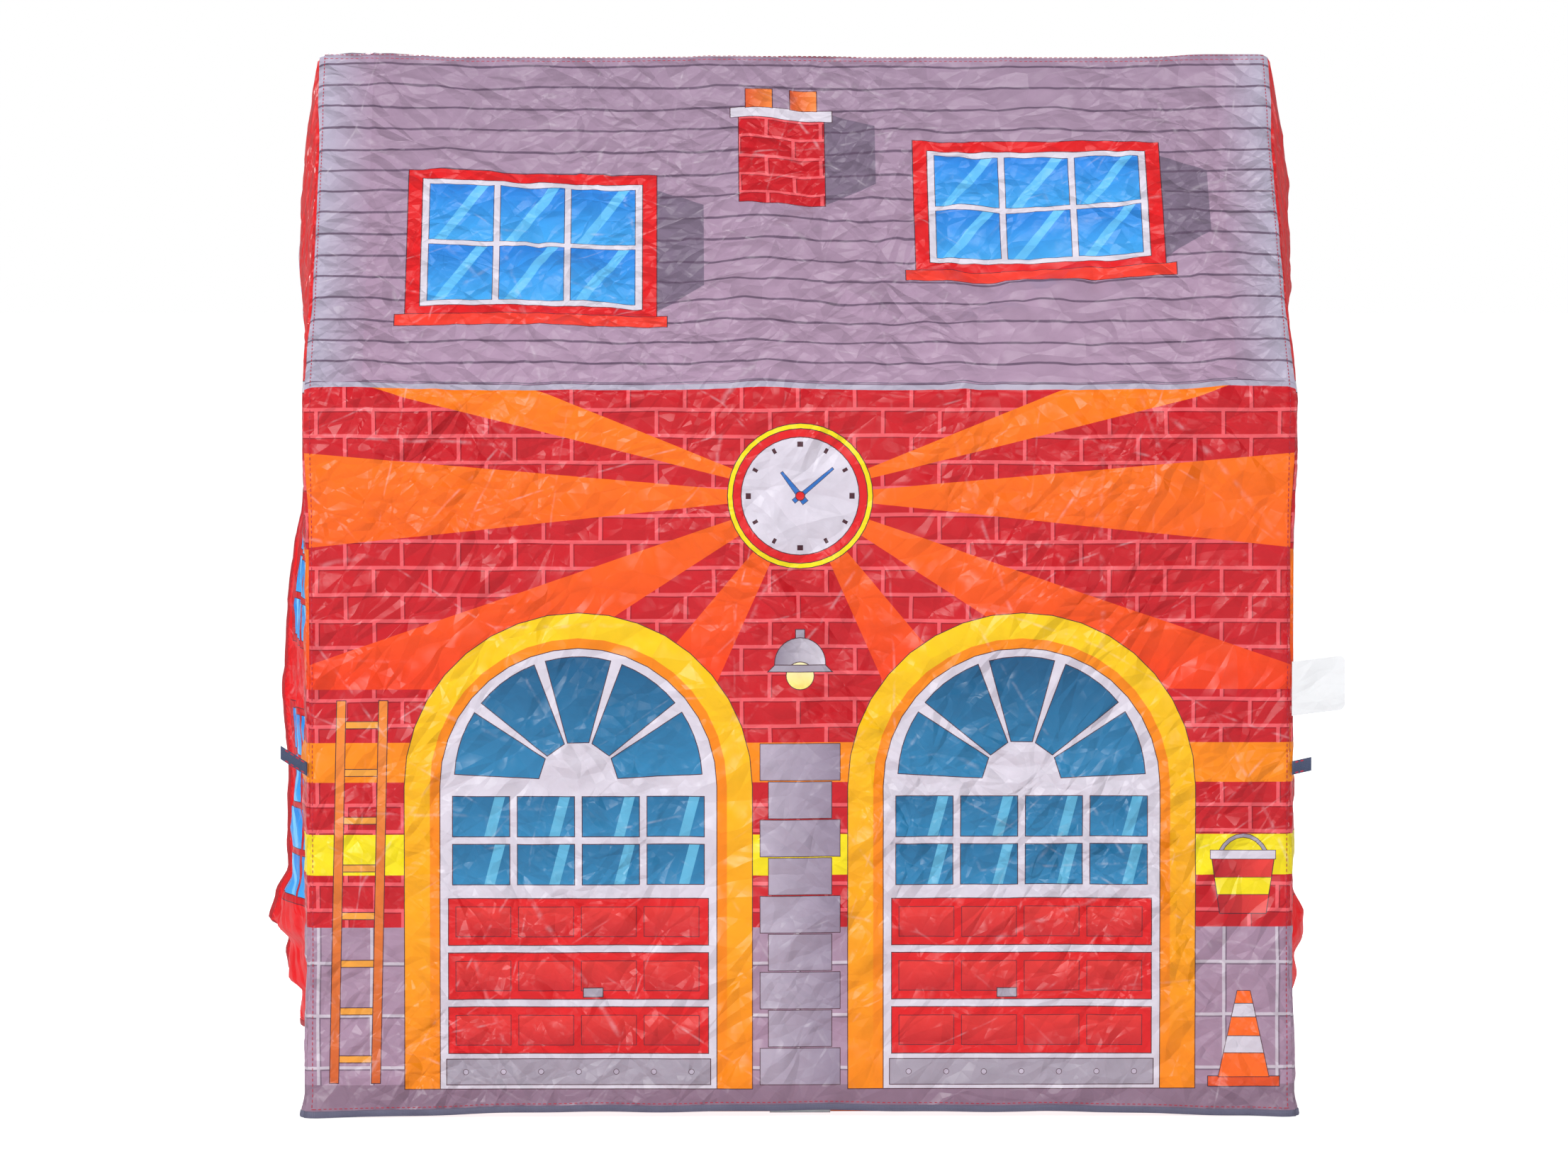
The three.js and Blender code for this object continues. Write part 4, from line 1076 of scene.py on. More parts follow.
def house_print():
    """The print of a cover panel: a boarded roof over a brick wall with two garage doors."""
    art = Print()
    wide = COVER_EDGE + PRINT_OVERRUN
    art.box(-wide, BLOCK_TOP, wide, WALL_TOP, BRICK_TINT, 2)
    rays(art, 0, CLOCK_UP, RAYS, deep_orange_tint(420, 690))
    art.box(-wide, BLOCK_TOP, wide, RAY_FOOT, BRICK_TINT, 2)
    wall_bands(art, wide)
    garage_door(art, -GARAGE_ASIDE, 1)
    garage_door(art, GARAGE_ASIDE, -1)
    for row in range(PIER_BLOCKS):
        half, low = PIER_HALVES[row % 2], GROUND_TOP + PIER_RISE * row
        art.box(-half, low, half, low + PIER_BLOCK_HIGH, PIER_TINT, line=0.7)
    wall_lamp(art, 0, LAMP_UP)
    wall_clock(art, 0, CLOCK_UP)
    ladder(art, -426, 34, 400, 8)
    cone(art, 425, 30)
    bucket(art, 424, 196)
    art.box(-wide, WALL_TOP, wide, COVER_TOP + PRINT_OVERRUN, ROOF_TINT, 1)
    # Painted highlight: a pale band along the roof's foot, where the cloth bends over the eave tube
    art.box(-wide, WALL_TOP, wide, WALL_TOP + 7, EAVE_HIGHLIGHT_TINT)
    art.box(-wide, WALL_TOP + 9, wide, WALL_TOP + 10.6, SHADOW_TINT)
    skylight(art, -258, 120, 214, 176)
    skylight(art, 236, 190, 214, 150)
    chimney(art, -14, 268, 118)
    # Painted highlight: the roof goes paler towards each side edge, where the cloth is stretched over the
    # rafter tube
    for side in (-1, 1):
        first, last = sorted((side * (HALF_LENGTH - TUBE_HIGHLIGHT_WIDTH), side * wide))
        tube_highlight = (linear("a88ea7"), linear("b2aabf"), 0, side * (HALF_LENGTH - 44), side * (HALF_LENGTH - 2))
        art.box(first, WALL_TOP + 7, last, COVER_TOP + PRINT_OVERRUN, tube_highlight, 1)
    return art


def hem_line(s):
    """The hem's height: low at the corners, lifted clear in the middle, a little wavy."""
    share = np.clip(np.abs(s) / HALF_LENGTH, 0, 1)
    wave = 0.7 * np.sin(s / 41.0 + 1.3) + 0.4 * np.sin(s / 17.0)
    return HEM_HIGH + (HEM_LOW - HEM_HIGH) * share ** 2 + wave * (1 - share ** 6)


# Tapes and thread. Woven bias tape is folded over the hems and the doorways' edges, and rows of machine
# stitches in a red thread hold it and the seams. Both are laid along lines on a panel's plan.
TAPE_PROFILE = [(5.6, 0.15), (5.1, 0.7), (0.3, 0.8), (-0.7, 0.35), (-0.7, -0.35), (0.3, -0.8), (5.1, -0.7),
                (5.6, -0.15)]
STITCH_PITCH, STITCH_LENGTH, STITCH_WIDTH, STITCH_RISE = 5.0, 3.6, 0.8, 0.4


def new_mesh(name, places, faces, along):
    """A piece from its places in millimetres, with the tape's run and width kept for its weave."""
    mesh = bpy.data.meshes.new(name)
    mesh.from_pydata((np.asarray(places) * TO_METRES).tolist(), [], faces)
    give_attribute(mesh, "tape_place", "FLOAT_VECTOR", "POINT", "vector", np.asarray(along) * TO_METRES)
    return smooth_object(name, mesh)


def run_along(path):
    """How far along a path each of its places lies."""
    return np.concatenate([[0], np.cumsum(np.linalg.norm(np.diff(path, axis=0), axis=1))])


def level_line(t, start, end, count):
    """A level line on a plan."""
    return [(s, t) for s in np.linspace(start, end, count)]


def upright_line(s, start, end, count):
    """An upright line on a plan."""
    return [(s, t) for t in np.linspace(start, end, count)]


def ring_faces(rings, count, closed=False):
    """The faces of a tape whose section is a ring and whose run has this many places."""
    faces = []
    for k in range(rings):
        for i in range(count if closed else count - 1):
            j, n = (i + 1) % count, (k + 1) % rings
            faces.append((k * count + i, k * count + j, n * count + j, n * count + i))
    if not closed:
        faces.append(tuple(k * count for k in range(rings)))
        faces.append(tuple(k * count + count - 1 for k in reversed(range(rings))))
    return faces


def laid_tape(name, surface, path, closed=False, profile=TAPE_PROFILE):
    """A folded tape sewn over an edge. The path runs with the cloth on its left."""
    path = np.array(path, float)
    before, after = np.roll(path, 1, 0), np.roll(path, -1, 0)
    if not closed:
        before[0], after[-1] = path[0], path[-1]
    run = after - before
    run /= np.linalg.norm(run, axis=1)[:, None]
    left = np.stack([-run[:, 1], run[:, 0]], 1)
    length = run_along(path)
    places, along = [], []
    for inward, outward in profile:
        middle_place, out = surface(*(path + left * max(inward, 0.0)).T)
        edge_place, _ = surface(*path.T)
        slip = min(inward, 0.0) * (surface(*(path + left).T)[0] - edge_place)
        places.append(middle_place + slip + out * outward)
        along.append(np.stack([length, np.full(len(path), inward), np.zeros(len(path))], 1))
    faces = ring_faces(len(profile), len(path), closed)
    places = np.concatenate(places)
    volume = sum(float(np.dot(places[f[0]], np.cross(places[f[1]], places[f[2]]))
                       + np.dot(places[f[0]], np.cross(places[f[2]], places[f[-1]])))
                 for f in faces if len(f) == 4)
    if volume < 0:
        faces = [face[::-1] for face in faces]
    return new_mesh(name, places, faces, np.concatenate(along))


def stitch_rows(name, surface, rows, width=STITCH_WIDTH):
    """Rows of machine stitches, each a short raised dash of thread that dips into the cloth at its ends."""
    starts, ends = [], []
    for row in rows:
        row = np.array(row, float)
        length = run_along(row)
        first = np.arange(1.0, length[-1] - STITCH_LENGTH, STITCH_PITCH)
        for found, reach in ((starts, first), (ends, first + STITCH_LENGTH)):
            found.append(np.stack([np.interp(reach, length, row[:, k]) for k in (0, 1)], 1))
    start, end = np.concatenate(starts), np.concatenate(ends)
    stations = [surface(*(start + (end - start) * share).T) for share in (0, 0.22, 0.78, 1)]
    run = stations[3][0] - stations[0][0]
    run /= np.linalg.norm(run, axis=1)[:, None]
    places = [stations[0][0]]
    for place, out in stations[1:3]:
        across = np.cross(out, run) * width / 2
        places += [place - across, place + out * STITCH_RISE, place + across]
    places.append(stations[3][0])
    count = len(start)
    pattern = [(0, 1, 2), (0, 2, 3), (1, 4, 5, 2), (2, 5, 6, 3), (7, 5, 4), (7, 6, 5)]
    across, up = places[2] - places[1], stations[1][1]
    turned_out = np.einsum("ij,ij->i", np.cross(places[4] - places[1], across), up).mean() > 0
    faces = [tuple(k * count + i for k in (corner if turned_out else corner[::-1]))
             for i in range(count) for corner in pattern]
    return new_mesh(name, np.concatenate(places), faces, np.concatenate(places))


weave, ends_in, ends_out = node_group(
    "tape_weave", [("Rib Pitch", "NodeSocketFloat", 1.0)],
    [("Ribs", "NodeSocketFloat"), ("Wear", "NodeSocketFloat")])
place = attribute(weave, "tape_place", "Vector")
rib_scale = math_node(weave, "MULTIPLY", ends_in.outputs["Rib Pitch"], 260.0)
object_place = add_node(weave, "ShaderNodeTexCoord").outputs["Object"]
join(weave, ends_out, Ribs=math_node(weave, "MULTIPLY", *thread_ribs(weave, place, rib_scale)),
     Wear=noise(weave, object_place, 60.0, 4.0))


def woven_tape(name, tint, dull_tint, rib_pitch=1.0, depth=0.0002, roughness=0.62):
    """Woven tape or twisted thread: fine ribs, a little dull where it is rubbed."""
    material, shader = principled(name, IOR=1.45)
    tree = material.node_tree
    cloth = effect(tree, weave, Rib_Pitch=rib_pitch)
    colour = mix_colour(tree, cloth["Wear"], linear(tint), linear(dull_tint))
    shade = ranged(tree, cloth["Ribs"], i3=0.86, i4=1.1)
    colour = mix_colour(tree, 1.0, colour, shade, "MULTIPLY")
    rough = math_node(tree, "MULTIPLY_ADD", cloth["Wear"], 0.2, roughness - 0.1)
    give_finish(tree, shader, colour, rough, cloth["Ribs"], 0.7, depth)
    return material


hem_tape = woven_tape("grey hem tape", "6e6e86", "5c5a72")
binding_tape = woven_tape("dark door binding", "3c4258", "4a5068")
thread = woven_tape("pink-red thread", "cc2c44", "ae2640", rib_pitch=3.0, depth=0.0001)


def sew(pieces, material, body):
    """Gives sewn-on pieces their material and body."""
    for piece in pieces:
        piece.data.materials.append(material)
        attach(piece, body)


def dress(panel, material, body, node_name):
    """Gives a panel that stands for a node its material and body."""
    panel.data.materials.append(material)
    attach(panel, body)
    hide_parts(node_name)


COVER_STEP = 4.4
cover_cloth = printed_taffeta("printed taffeta of the cover")
SEAM_STITCHES, HEM_STITCHES, RIDGE_STITCHES = 4.5, 7.6, (4, 9.5)
for name, face, wall_folds, roof_folds, seed in (
    ("front", -1, FRONT_WALL_FOLDS, FRONT_ROOF_FOLDS, 11), ("back", 1, BACK_WALL_FOLDS, BACK_ROOF_FOLDS, 23),
):
    surface = cover_surface(face, cover_relief(wall_folds, roof_folds, seed))
    outline = [(float(s), float(hem_line(s))) for s in np.linspace(-COVER_EDGE, COVER_EDGE, 181)]
    outline += [(COVER_EDGE, COVER_TOP), (-COVER_EDGE, COVER_TOP)]
    panel = cut_panel(f"cover_cloth_{name}", outline, [], house_print(), surface, COVER_STEP, flip=face > 0)
    dress(panel, cover_cloth, "tent", f"cover_{name}")
    hem_path = [(s, hem_line(s)) for s in np.linspace(-COVER_EDGE, COVER_EDGE, 240)]
    tape = laid_tape(f"cover_hem_{name}", surface, hem_path)
    rows = [[(s, hem_line(s) + HEM_STITCHES) for s in np.linspace(-COVER_EDGE + 3, COVER_EDGE - 3, 240)]]
    rows += [level_line(COVER_TOP - gap, -COVER_EDGE + 3, COVER_EDGE - 3, 240) for gap in RIDGE_STITCHES]
    rows += [upright_line(side * (COVER_EDGE - SEAM_STITCHES), 9, COVER_TOP - 3, 300) for side in (-1, 1)]
    seams = stitch_rows(f"cover_stitches_{name}", surface, rows)
    sew([tape], hem_tape, "tent")
    sew([seams], thread, "tent")

# Gable ends. Each is one printed sheet round its doorway. Its edges wrap half way round the posts and
# rafters, where it is seamed to the covers, and a dark bias binding finishes the doorway.
GABLE_EDGE = WRAP_RADIUS * SEAM_TURN
DOOR_HALF, DOOR_LOW, DOOR_HIGH, DOOR_ROUND = 220.0, 52.0, 597.0, 9.0
GABLE_BULGE, STRIP_BULGE = 19.0, 4.0
GABLE_HEM, SURROUND = 1.6, 30
WALL_CORNERS = [(HALF_DEPTH, BASE), (HALF_DEPTH, EAVE), (0, RIDGE)]


def gable_surface(side, relief):
    """Places on a gable's outside, and the way outward there. Side is -1 at the left end, 1 at the right."""
    lean, climb = math.cos(ROOF_ANGLE), math.sin(ROOF_ANGLE)

    def at(p, q):
        face, y = np.where(p < 0, -1.0, 1.0), np.abs(p)
        up = np.clip(-(y - HALF_DEPTH) * lean + (q - EAVE) * climb, 0, RAFTER)
        off = (y - HALF_DEPTH) * climb + (q - EAVE) * lean
        on_roof = q > EAVE
        beyond = np.where(on_roof, off > 0, y > HALF_DEPTH)
        edge_y = np.where(on_roof, HALF_DEPTH - up * lean, HALF_DEPTH)
        edge_z = np.where(on_roof, EAVE + up * climb, q)
        near_y, near_z = np.where(beyond, edge_y, y), np.where(beyond, edge_z, q)
        away_y, away_z = y - near_y, q - near_z
        distance = np.hypot(away_y, away_z)
        scale = np.where(distance > 1e-6, distance, 1)
        away_y, away_z = away_y / scale, away_z / scale
        wrap = distance / WRAP_RADIUS
        left_of_roof = np.clip((RIDGE - near_z) / (RIDGE - EAVE), 0.02, 1)
        half_width = np.where(on_roof, HALF_DEPTH * left_of_roof, HALF_DEPTH)
        share = np.clip(near_y / half_width, 0, 1)
        roof_share = np.clip((near_z - EAVE) / (RIDGE - EAVE), 0, 1)
        wall_share = np.clip((near_z - BASE) / (DOOR_HIGH - BASE), 0, 1)
        strip_share = np.clip((HALF_DEPTH - near_y) / (HALF_DEPTH - DOOR_HALF), 0, 1)
        bulge = np.where(on_roof, GABLE_BULGE * (1 - share ** 2) * np.sin(math.pi * roof_share),
                         STRIP_BULGE * np.sin(math.pi * strip_share) * np.sin(math.pi * wall_share))
        to_node = np.min([np.hypot(near_y - cy, near_z - cz) for cy, cz in WALL_CORNERS], axis=0)
        inset = np.where(on_roof, np.clip(-off, 0, None), np.clip(HALF_DEPTH - y, 0, None))
        free = smooth_step(inset / 45) * smooth_step(np.abs(q - EAVE) / 22)
        stand = stand_off(to_node)
        nearness = smooth_step((distance - GABLE_EDGE + SEAM_REACH) / SEAM_REACH)
        lift = kept_lift(relief.at(p, q), free) - seam_dip(stand, nearness)
        height = stand + np.where(beyond, 0, bulge) + lift + corner_flare(q, HALF_DEPTH - near_y)
        centre = np.stack([np.full(len(p), side * HALF_LENGTH), face * near_y, near_z], 1)
        out = np.stack([side * np.cos(wrap), face * away_y * np.sin(wrap), away_z * np.sin(wrap)], 1)
        return centre + out * height[:, None], out
    return at


def gable_outline():
    """The pentagon of a gable's plan, with its edges' wrap, from the hem's middle round to it again."""
    half = upright_line(HALF_DEPTH + GABLE_EDGE, GABLE_HEM, EAVE, 90)
    half += arc((HALF_DEPTH, EAVE), GABLE_EDGE, np.linspace(0, SLOPE_TILT, 6)[1:])
    (p0, q0), (p1, q1) = half[-1], arc((0, RIDGE), GABLE_EDGE, [SLOPE_TILT])[0]
    half += [(u * p1 + (1 - u) * p0, u * q1 + (1 - u) * q0) for u in np.linspace(0, 1, 70)[1:]]
    half += arc((0, RIDGE), GABLE_EDGE, np.linspace(SLOPE_TILT, math.pi / 2, 6)[1:])
    return half + [(-p, q) for p, q in half[-2::-1]]


def rounded_box(low, high, radius, step=12.0):
    """An anticlockwise box with rounded corners, divided finely along its sides."""
    points = []
    left, bottom, right, top = low[0] + radius, low[1] + radius, high[0] - radius, high[1] - radius
    centres = [(right, bottom), (right, top), (left, top), (left, bottom)]
    for quarter, centre in enumerate(centres, -1):
        points += arc(centre, radius, [math.radians(90 * quarter + 15 * k) for k in range(7)])
    return divided(points, step)


WINDOW_UP, WINDOW_RIM, WINDOW_GLASS, CROSS_HALF = 800, 66, 56, 4
GABLE_OVERRUN = 14


def gable_print():
    """A brick wall with the cover's bands round the doorway, under a red gable with a round window."""
    art = Print()
    wide = HALF_DEPTH + GABLE_OVERRUN
    art.box(-wide, BLOCK_TOP, wide, EAVE + 4, BRICK_TINT, 2)
    art.box(-wide, RAY_FOOT, wide, 545, deep_orange_tint(RAY_FOOT, 545))
    wall_bands(art, wide)
    left, right, head = -DOOR_HALF - SURROUND, DOOR_HALF + SURROUND, DOOR_HIGH + SURROUND
    art.box(left, DOOR_LOW, -DOOR_HALF + 1, head, GOLD_TINT, line=LINE)
    art.box(DOOR_HALF - 1, DOOR_LOW, right, head, GOLD_TINT, line=LINE)
    art.box(left, DOOR_HIGH - 1, right, head, GOLD_TINT, line=LINE)
    art.box(-wide, EAVE + 4, wide, RIDGE + GABLE_OVERRUN, RED_TINT)
    art.box(-wide, EAVE + 4, wide, EAVE + 14, WHITE_TINT, line=LINE)
    low, high = WINDOW_UP - WINDOW_GLASS, WINDOW_UP + WINDOW_GLASS
    art.disc(0, WINDOW_UP, WINDOW_RIM, WHITE_TINT, line=LINE, points=44)
    art.disc(0, WINDOW_UP, WINDOW_GLASS, glass_tint(low, high), line=LINE, points=44)
    art.band((-40, -26), WINDOW_UP - 38, (20, 34), WINDOW_UP + 38, GLINT_TINT)
    art.box(-WINDOW_GLASS, WINDOW_UP - CROSS_HALF, WINDOW_GLASS, WINDOW_UP + CROSS_HALF, WHITE_TINT,
            line=THIN_LINE)
    art.box(-CROSS_HALF, low + 1, CROSS_HALF, high - 1, WHITE_TINT, line=THIN_LINE)
    return art


def crumpled(low, high, seed, long_creases, short_creases, depth):
    """Creases at random on a smaller panel."""
    relief = Relief(low, high)
    rng = np.random.default_rng(seed)
    relief.crumple(rng, long_creases, (60, 220), (12, 34), depth)
    relief.crumple(rng, short_creases, (24, 100), (5, 15), depth * 0.55)
    relief.crumple(rng, short_creases * 2, (12, 40), (4, 8), depth * 0.25)
    return relief


for name, side, seed in (("left", -1, 31), ("right", 1, 47)):
    relief = crumpled((-HALF_DEPTH - 12, -6), (HALF_DEPTH + 12, RIDGE + 14), seed, 260, 1500, 2.6)
    surface = gable_surface(side, relief)
    outline = gable_outline()
    opening = rounded_box((-DOOR_HALF, DOOR_LOW), (DOOR_HALF, DOOR_HIGH), DOOR_ROUND)
    panel = cut_panel(f"gable_cloth_{name}", outline, [opening], gable_print(), surface, COVER_STEP,
                      flip=side < 0)
    hem_path = level_line(GABLE_HEM, -HALF_DEPTH - GABLE_EDGE, HALF_DEPTH + GABLE_EDGE, 180)
    hem = laid_tape(f"gable_hem_{name}", surface, hem_path)
    binding = laid_tape(f"door_binding_{name}", surface, opening[::-1], closed=True)
    beside = rounded_box((-DOOR_HALF - HEM_STITCHES, DOOR_LOW - HEM_STITCHES),
                         (DOOR_HALF + HEM_STITCHES, DOOR_HIGH + HEM_STITCHES), DOOR_ROUND + HEM_STITCHES)
    rows = [level_line(GABLE_HEM + HEM_STITCHES, -HALF_DEPTH, HALF_DEPTH, 180), beside + beside[:1]]
    seams = stitch_rows(f"gable_stitches_{name}", surface, rows)
    sew([hem], hem_tape, "tent")
    sew([binding], binding_tape, "tent")
    sew([seams], thread, "tent")
    dress(panel, cover_cloth, "tent", f"gable_{name}")

# Door leaves. A pair of loose curtains hangs in each doorway, sewn along its two upright sides, red with
# printed panes. Their free edges are turned in and stitched, and they fall in soft folds.
LEAF_WIDTH, LEAF_LOW, LEAF_HIGH = 212.0, 59.0, 590.0
LEAF_HEIGHT = LEAF_HIGH - LEAF_LOW
LEAF_FOLDS, LEAF_FOLD_DEPTH, LEAF_TOP_SHARE = 1.5, 10.0, 0.3
LEAF_BEND, LEAF_STAND, LEAF_GAP = 34.0, 8.2, 0.9
LEAF_ROUND, LEAF_HEM, LEAF_STITCHES = 6.0, 0.6, 8
# Each leaf's turn out of the gable's plane in degrees, where its folds start, and how it hangs: from the foot
# up, the height on the leaf and the share of that turn which its free edge takes there
LEAVES = [
    ("left_front", -1, -1, 10, 0.35, 61,
     [(0, 0.5), (14, 0.56), (34, 0.52), (48, 1.08), (66, 1.12), (83, 1.02), (99, 1.56), (124, 1.38),
      (152, 0.98), (250, 0.9), (318, 0.98), (384, 0.88), (436, 0.76), (480, 0.62), (LEAF_HEIGHT, 0.4)]),
    ("left_back", -1, 1, 13, 0.8, 67,
     [(0, 0.16), (70, 0.2), (130, 0.42), (230, 0.6), (340, 0.62), (440, 0.5), (LEAF_HEIGHT, 0.3)]),
    ("right_front", 1, -1, 7, 0.1, 71,
     [(0, 0.76), (26, 0.76), (46, 1.06), (64, 0.93), (86, 1.38), (106, 1.34), (130, 0.96), (154, 0.56),
      (300, 0.5), (440, 0.46), (LEAF_HEIGHT, 0.36)]),
    ("right_back", 1, 1, 9, 0.55, 79,
     [(0, 0.44), (90, 0.56), (210, 0.6), (360, 0.54), (LEAF_HEIGHT, 0.36)]),
]


def leaf_place(x, y, opening, across_run):
    """A place on the leaf's level plan, this far from its sewn edge."""
    turn = math.radians(opening)
    root = np.array([x * (HALF_LENGTH + LEAF_STAND), y * (DOOR_HALF - LEAF_GAP), 0])
    return root + np.array([x * math.sin(turn), -y * math.cos(turn), 0]) * across_run


def leaf_surface(x, y, opening, drift, hang, relief):
    """Places on a leaf, and the way outward there. It hangs from its sewn edge, at the start of s."""
    turn_out = math.radians(opening)
    run = np.array([x * math.sin(turn_out), -y * math.cos(turn_out), 0])
    out = np.array([x * math.cos(turn_out), y * math.sin(turn_out), 0])
    root = leaf_place(x, y, opening, 0)
    levels, shares = np.array(hang).T

    def hang_at(t):
        """The share of the turn at a height, eased from one level to the next."""
        k = np.clip(np.searchsorted(levels, t) - 1, 0, len(levels) - 2)
        part = smooth_step((t - levels[k]) / (levels[k + 1] - levels[k]))
        return shares[k] + (shares[k + 1] - shares[k]) * part

    def at(s, t):
        across, height = s / LEAF_WIDTH, t / LEAF_HEIGHT
        swing = hang_at(t)
        turn = across * LEAF_FOLDS + drift + height * drift
        depth = LEAF_FOLD_DEPTH * (1 + (LEAF_TOP_SHARE - 1) * height)
        fold = depth * across * np.sin(2 * math.pi * turn)
        pulled_in = LEAF_WIDTH * across * math.tan(turn_out) * (swing - 1)
        lift = fold + pulled_in + relief.at(s, t) * smooth_step(s / 30)
        places = root + run * s[:, None] + out * lift[:, None]
        places[:, 2] = LEAF_LOW + t
        return places, np.tile(out, (len(s), 1))
    return at


LEAF_GLINT_TINT, WINDOW_TINT = (linear("74c4f6"),), (linear("c8141e"),)
# The leaves' windows: foot, head and rows of panes, and their sides from the sewn edge
LEAF_WINDOWS, LEAF_WINDOW_SIDES = [(378, 512, 3), (126, 318, 4)], (20, 192)
LEAF_PANE, LEAF_PANE_PITCH, LEAF_PANE_SHADE = 48, 54.5, 14


def leaf_print():
    """Red cloth with two printed windows, the lower one taller."""
    art = Print()
    art.box(-4, -4, LEAF_WIDTH + 4, LEAF_HEIGHT + 4, RED_TINT)
    for low, high, count in LEAF_WINDOWS:
        art.box(LEAF_WINDOW_SIDES[0], low, LEAF_WINDOW_SIDES[1], high, WINDOW_TINT, line=LINE)
        up = high - low - WINDOW_BAR
        for row in range(count):
            foot = low + WINDOW_BAR + row * up / count
            head = foot + up / count - WINDOW_BAR
            glass = glass_tint(foot - LEAF_PANE_SHADE, head + LEAF_PANE_SHADE)
            for column in range(3):
                left = LEAF_WINDOW_SIDES[0] + WINDOW_BAR + column * LEAF_PANE_PITCH
                art.box(left, foot, left + LEAF_PANE, head, glass, line=0.7)
                art.band((left + 8, left + 20), foot, (left + 28, left + 40), head, LEAF_GLINT_TINT)
    return art


# The leaves take a painted glow, as if lit through from behind, and little shine
leaf_cloth = printed_taffeta("printed taffeta of the door leaves", crease_size=1.1, crease_slope=0.6,
                             shine=0.15, glow=0.16)
leaf_hem = woven_tape("red turned hem", "c8101c", "a80e1a", roughness=0.45)
for name, x, y, opening, drift, seed, hang in LEAVES:
    relief = crumpled((-4, -4), (LEAF_WIDTH + 4, LEAF_HEIGHT + 4), seed, 46, 300, 1.9)
    surface = leaf_surface(x, y, opening, drift, hang, relief)
    outline = [(0.0, 0.0), (LEAF_WIDTH, 0.0), (LEAF_WIDTH, LEAF_HEIGHT), (0.0, LEAF_HEIGHT)]
    panel = cut_panel(f"door_cloth_{name}", outline, [], leaf_print(), surface, COVER_STEP, flip=x == y)
    panel.data.materials.append(leaf_cloth)
    inner, foot, head = LEAF_WIDTH - LEAF_ROUND, LEAF_HEM + LEAF_ROUND, LEAF_HEIGHT - LEAF_HEM - LEAF_ROUND
    path = level_line(LEAF_HEM, 3, inner, 44)
    path += arc((inner, foot), LEAF_ROUND, np.linspace(-math.pi / 2, 0, 7)[1:])
    path += upright_line(LEAF_WIDTH, LEAF_ROUND + 12, LEAF_HEIGHT - LEAF_ROUND, 100)
    path += arc((inner, head), LEAF_ROUND, np.linspace(0, math.pi / 2, 7)[1:])
    path += level_line(LEAF_HEIGHT - LEAF_HEM, inner - 4, 3, 44)
    edging = laid_tape(f"door_edging_{name}", surface, path)
    right, top = LEAF_WIDTH - LEAF_STITCHES, LEAF_HEIGHT - LEAF_STITCHES
    rows = [level_line(LEAF_STITCHES, 6, right, 60), upright_line(right, LEAF_STITCHES, top, 120),
            level_line(top, 6, right, 60), upright_line(6, LEAF_STITCHES, top, 120)]
    seams = stitch_rows(f"door_stitches_{name}", surface, rows)
    for piece, material in ((panel, None), (edging, leaf_hem), (seams, thread)):
        if material:
            piece.data.materials.append(material)
        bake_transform(piece)
    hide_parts(f"door_leaf_{name}")

# Tie tabs. A short woven tape is folded back on itself and caught in each upright corner seam, to tie the
# tent down or to its bag. A red stitch line runs along both of its edges.
TAB_HEIGHT, TAB_PLY, TAB_GAP, TAB_CENTRE, TAB_CURL = 13.0, 0.8, 0.6, 335.0, 0.5
TAB_FOLD, SEAM_STAND = (TAB_GAP + TAB_PLY) / 2, 9.0
TABS = [("front_left", -1, -1, 25, 16), ("front_right", 1, -1, 18, 4), ("back_left", -1, 1, 22, 8),
        ("back_right", 1, 1, 22, 8)]


def seam_root(x, y, root_radius, height):
    """The place on a corner seam where a tab or tag of this root radius is caught."""
    gap = (SEAM_STAND + root_radius) * math.sqrt(0.5)
    return np.array([x * (HALF_LENGTH + gap), y * (HALF_DEPTH + gap), height])


def tab_surface(x, root, reach, rise, ply):
    """The outside of one ply of a tab: s runs out from the seam, t up the tape."""
    def at(s, t):
        share = s / reach
        part = TAB_FOLD * np.sqrt(np.clip(1 - np.clip((share - 0.9) / 0.1, 0, 1) ** 2, 0, 1))
        curl = TAB_CURL * np.sin(math.pi * share)
        off = x * (ply * part + curl) + x * ply * TAB_PLY / 2
        places = np.stack([root[0] + x * s, root[1] + off, root[2] + t + rise * share], 1)
        return places, np.tile([0.0, x * ply, 0.0], (len(s), 1))
    return at


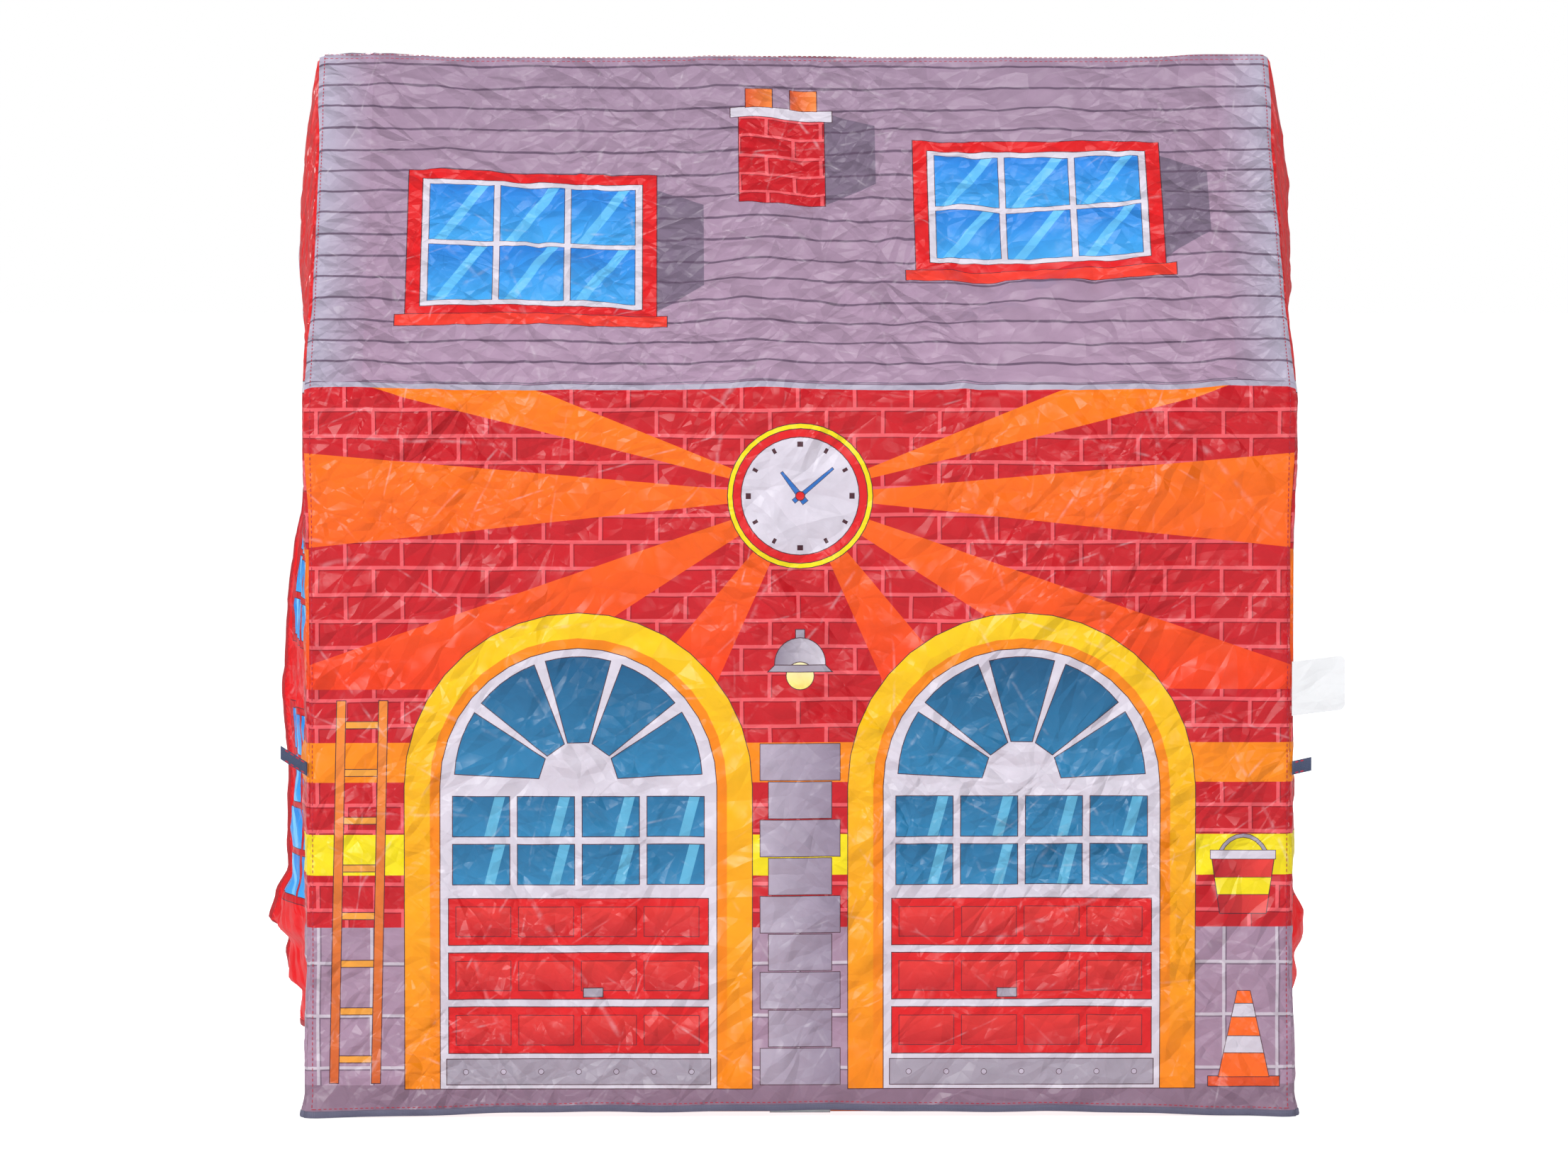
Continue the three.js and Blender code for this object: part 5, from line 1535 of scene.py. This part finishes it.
HALF_TAB, HALF_PLY = TAB_HEIGHT / 2, TAB_PLY / 2
TAB_SECTION = [(-HALF_PLY, HALF_TAB - 0.3), (-HALF_PLY * 0.5, HALF_TAB), (HALF_PLY * 0.5, HALF_TAB),
               (HALF_PLY, HALF_TAB - 0.3), (HALF_PLY, 0), (HALF_PLY, -HALF_TAB + 0.3),
               (HALF_PLY * 0.5, -HALF_TAB), (-HALF_PLY * 0.5, -HALF_TAB), (-HALF_PLY, -HALF_TAB + 0.3),
               (-HALF_PLY, 0)]
tab_tape = woven_tape("grey-blue tie tape", "4b5676", "3c465f", rib_pitch=0.8, depth=0.0003)
for name, x, y, reach, rise in TABS:
    root = seam_root(x, y, TAB_PLY + TAB_GAP / 2, TAB_CENTRE)
    path = level_line(-TAB_FOLD, 0, reach - TAB_FOLD, 14)
    path += arc((reach - TAB_FOLD, 0), TAB_FOLD, np.linspace(-math.pi / 2, math.pi / 2, 9)[1:])
    path += level_line(TAB_FOLD, reach - TAB_FOLD, 0, 14)[1:]
    path = np.array(path)
    run = np.gradient(path, axis=0)
    run /= np.linalg.norm(run, axis=1)[:, None]
    normal = np.stack([run[:, 1], -run[:, 0]], 1)
    length = run_along(path)
    places, along = [], []
    for off, up in TAB_SECTION:
        flat = path + normal * off
        share = flat[:, 0] / reach
        curl = TAB_CURL * np.sin(math.pi * np.clip(share, 0, 1))
        places.append(np.stack([root[0] + x * flat[:, 0], root[1] + x * (flat[:, 1] + curl),
                                root[2] + up + rise * share], 1))
        along.append(np.stack([length, np.full(len(path), up), np.zeros(len(path))], 1))
    faces = ring_faces(len(TAB_SECTION), len(path))
    tab = new_mesh(f"tie_tape_{name}", np.concatenate(places), faces, np.concatenate(along))
    rows = [level_line(t, 1.5, reach - 2.5, 12) for t in (-5.0, 5.0)]
    seams = []
    for side_name, ply in (("a", -1), ("b", 1)):
        outside = tab_surface(x, root, reach, rise, ply)
        seams.append(stitch_rows(f"tie_stitches_{name}_{side_name}", outside, rows, width=1.3))
    sew([tab], tab_tape, f"tab_{name}")
    sew(seams, thread, f"tab_{name}")
    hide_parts(f"tie_tab_{name}")

# Care tag. A small bare satin label with rounded outer corners, caught in the front right corner seam.
TAG_WIDTH, TAG_HEIGHT, TAG_RISE, TAG_CENTRE, TAG_ROUND = 51.0, 52.0, 6.0, 411.0, 6.0
TAG_HALF = TAG_HEIGHT / 2
tag_root = seam_root(1, -1, 0.4, TAG_CENTRE)


def tag_surface(s, t):
    """Places on the label, and the way outward there: s runs out from the seam, t up the label."""
    share = s / TAG_WIDTH
    curl = 1.6 * np.sin(math.pi * share * 0.9) + 0.5 * share * np.sin(t / 17)
    places = np.stack([tag_root[0] + s, tag_root[1] + curl - 0.2, tag_root[2] + t + TAG_RISE * share], 1)
    return places, np.tile([0.0, -1.0, 0.0], (len(s), 1))


inner = TAG_WIDTH - TAG_ROUND
outline = [(0.0, -TAG_HALF), *arc((inner, -TAG_HALF + TAG_ROUND), TAG_ROUND, np.linspace(-math.pi / 2, 0, 6)),
           *arc((inner, TAG_HALF - TAG_ROUND), TAG_ROUND, np.linspace(0, math.pi / 2, 6)), (0.0, TAG_HALF)]
tag = cut_panel("care_label", outline, [], Print(), tag_surface, 3.0)
satin, shader = principled("white label satin", IOR=1.46)
tree = satin.node_tree
cloth = effect(tree, taffeta, Crease_Size=0.7, Crease_Slope=0.35)
shade = ranged(tree, cloth["Roughness"], i1=0.2, i2=0.36)
colour = mix_colour(tree, shade, linear("e0e2e6"), linear("eceef0"))
rough = math_node(tree, "ADD", cloth["Roughness"], 0.25)
give_finish(tree, shader, colour, rough, cloth["Height"], 1.0, 1.0)
dress(tag, satin, "tag", "care_tag")
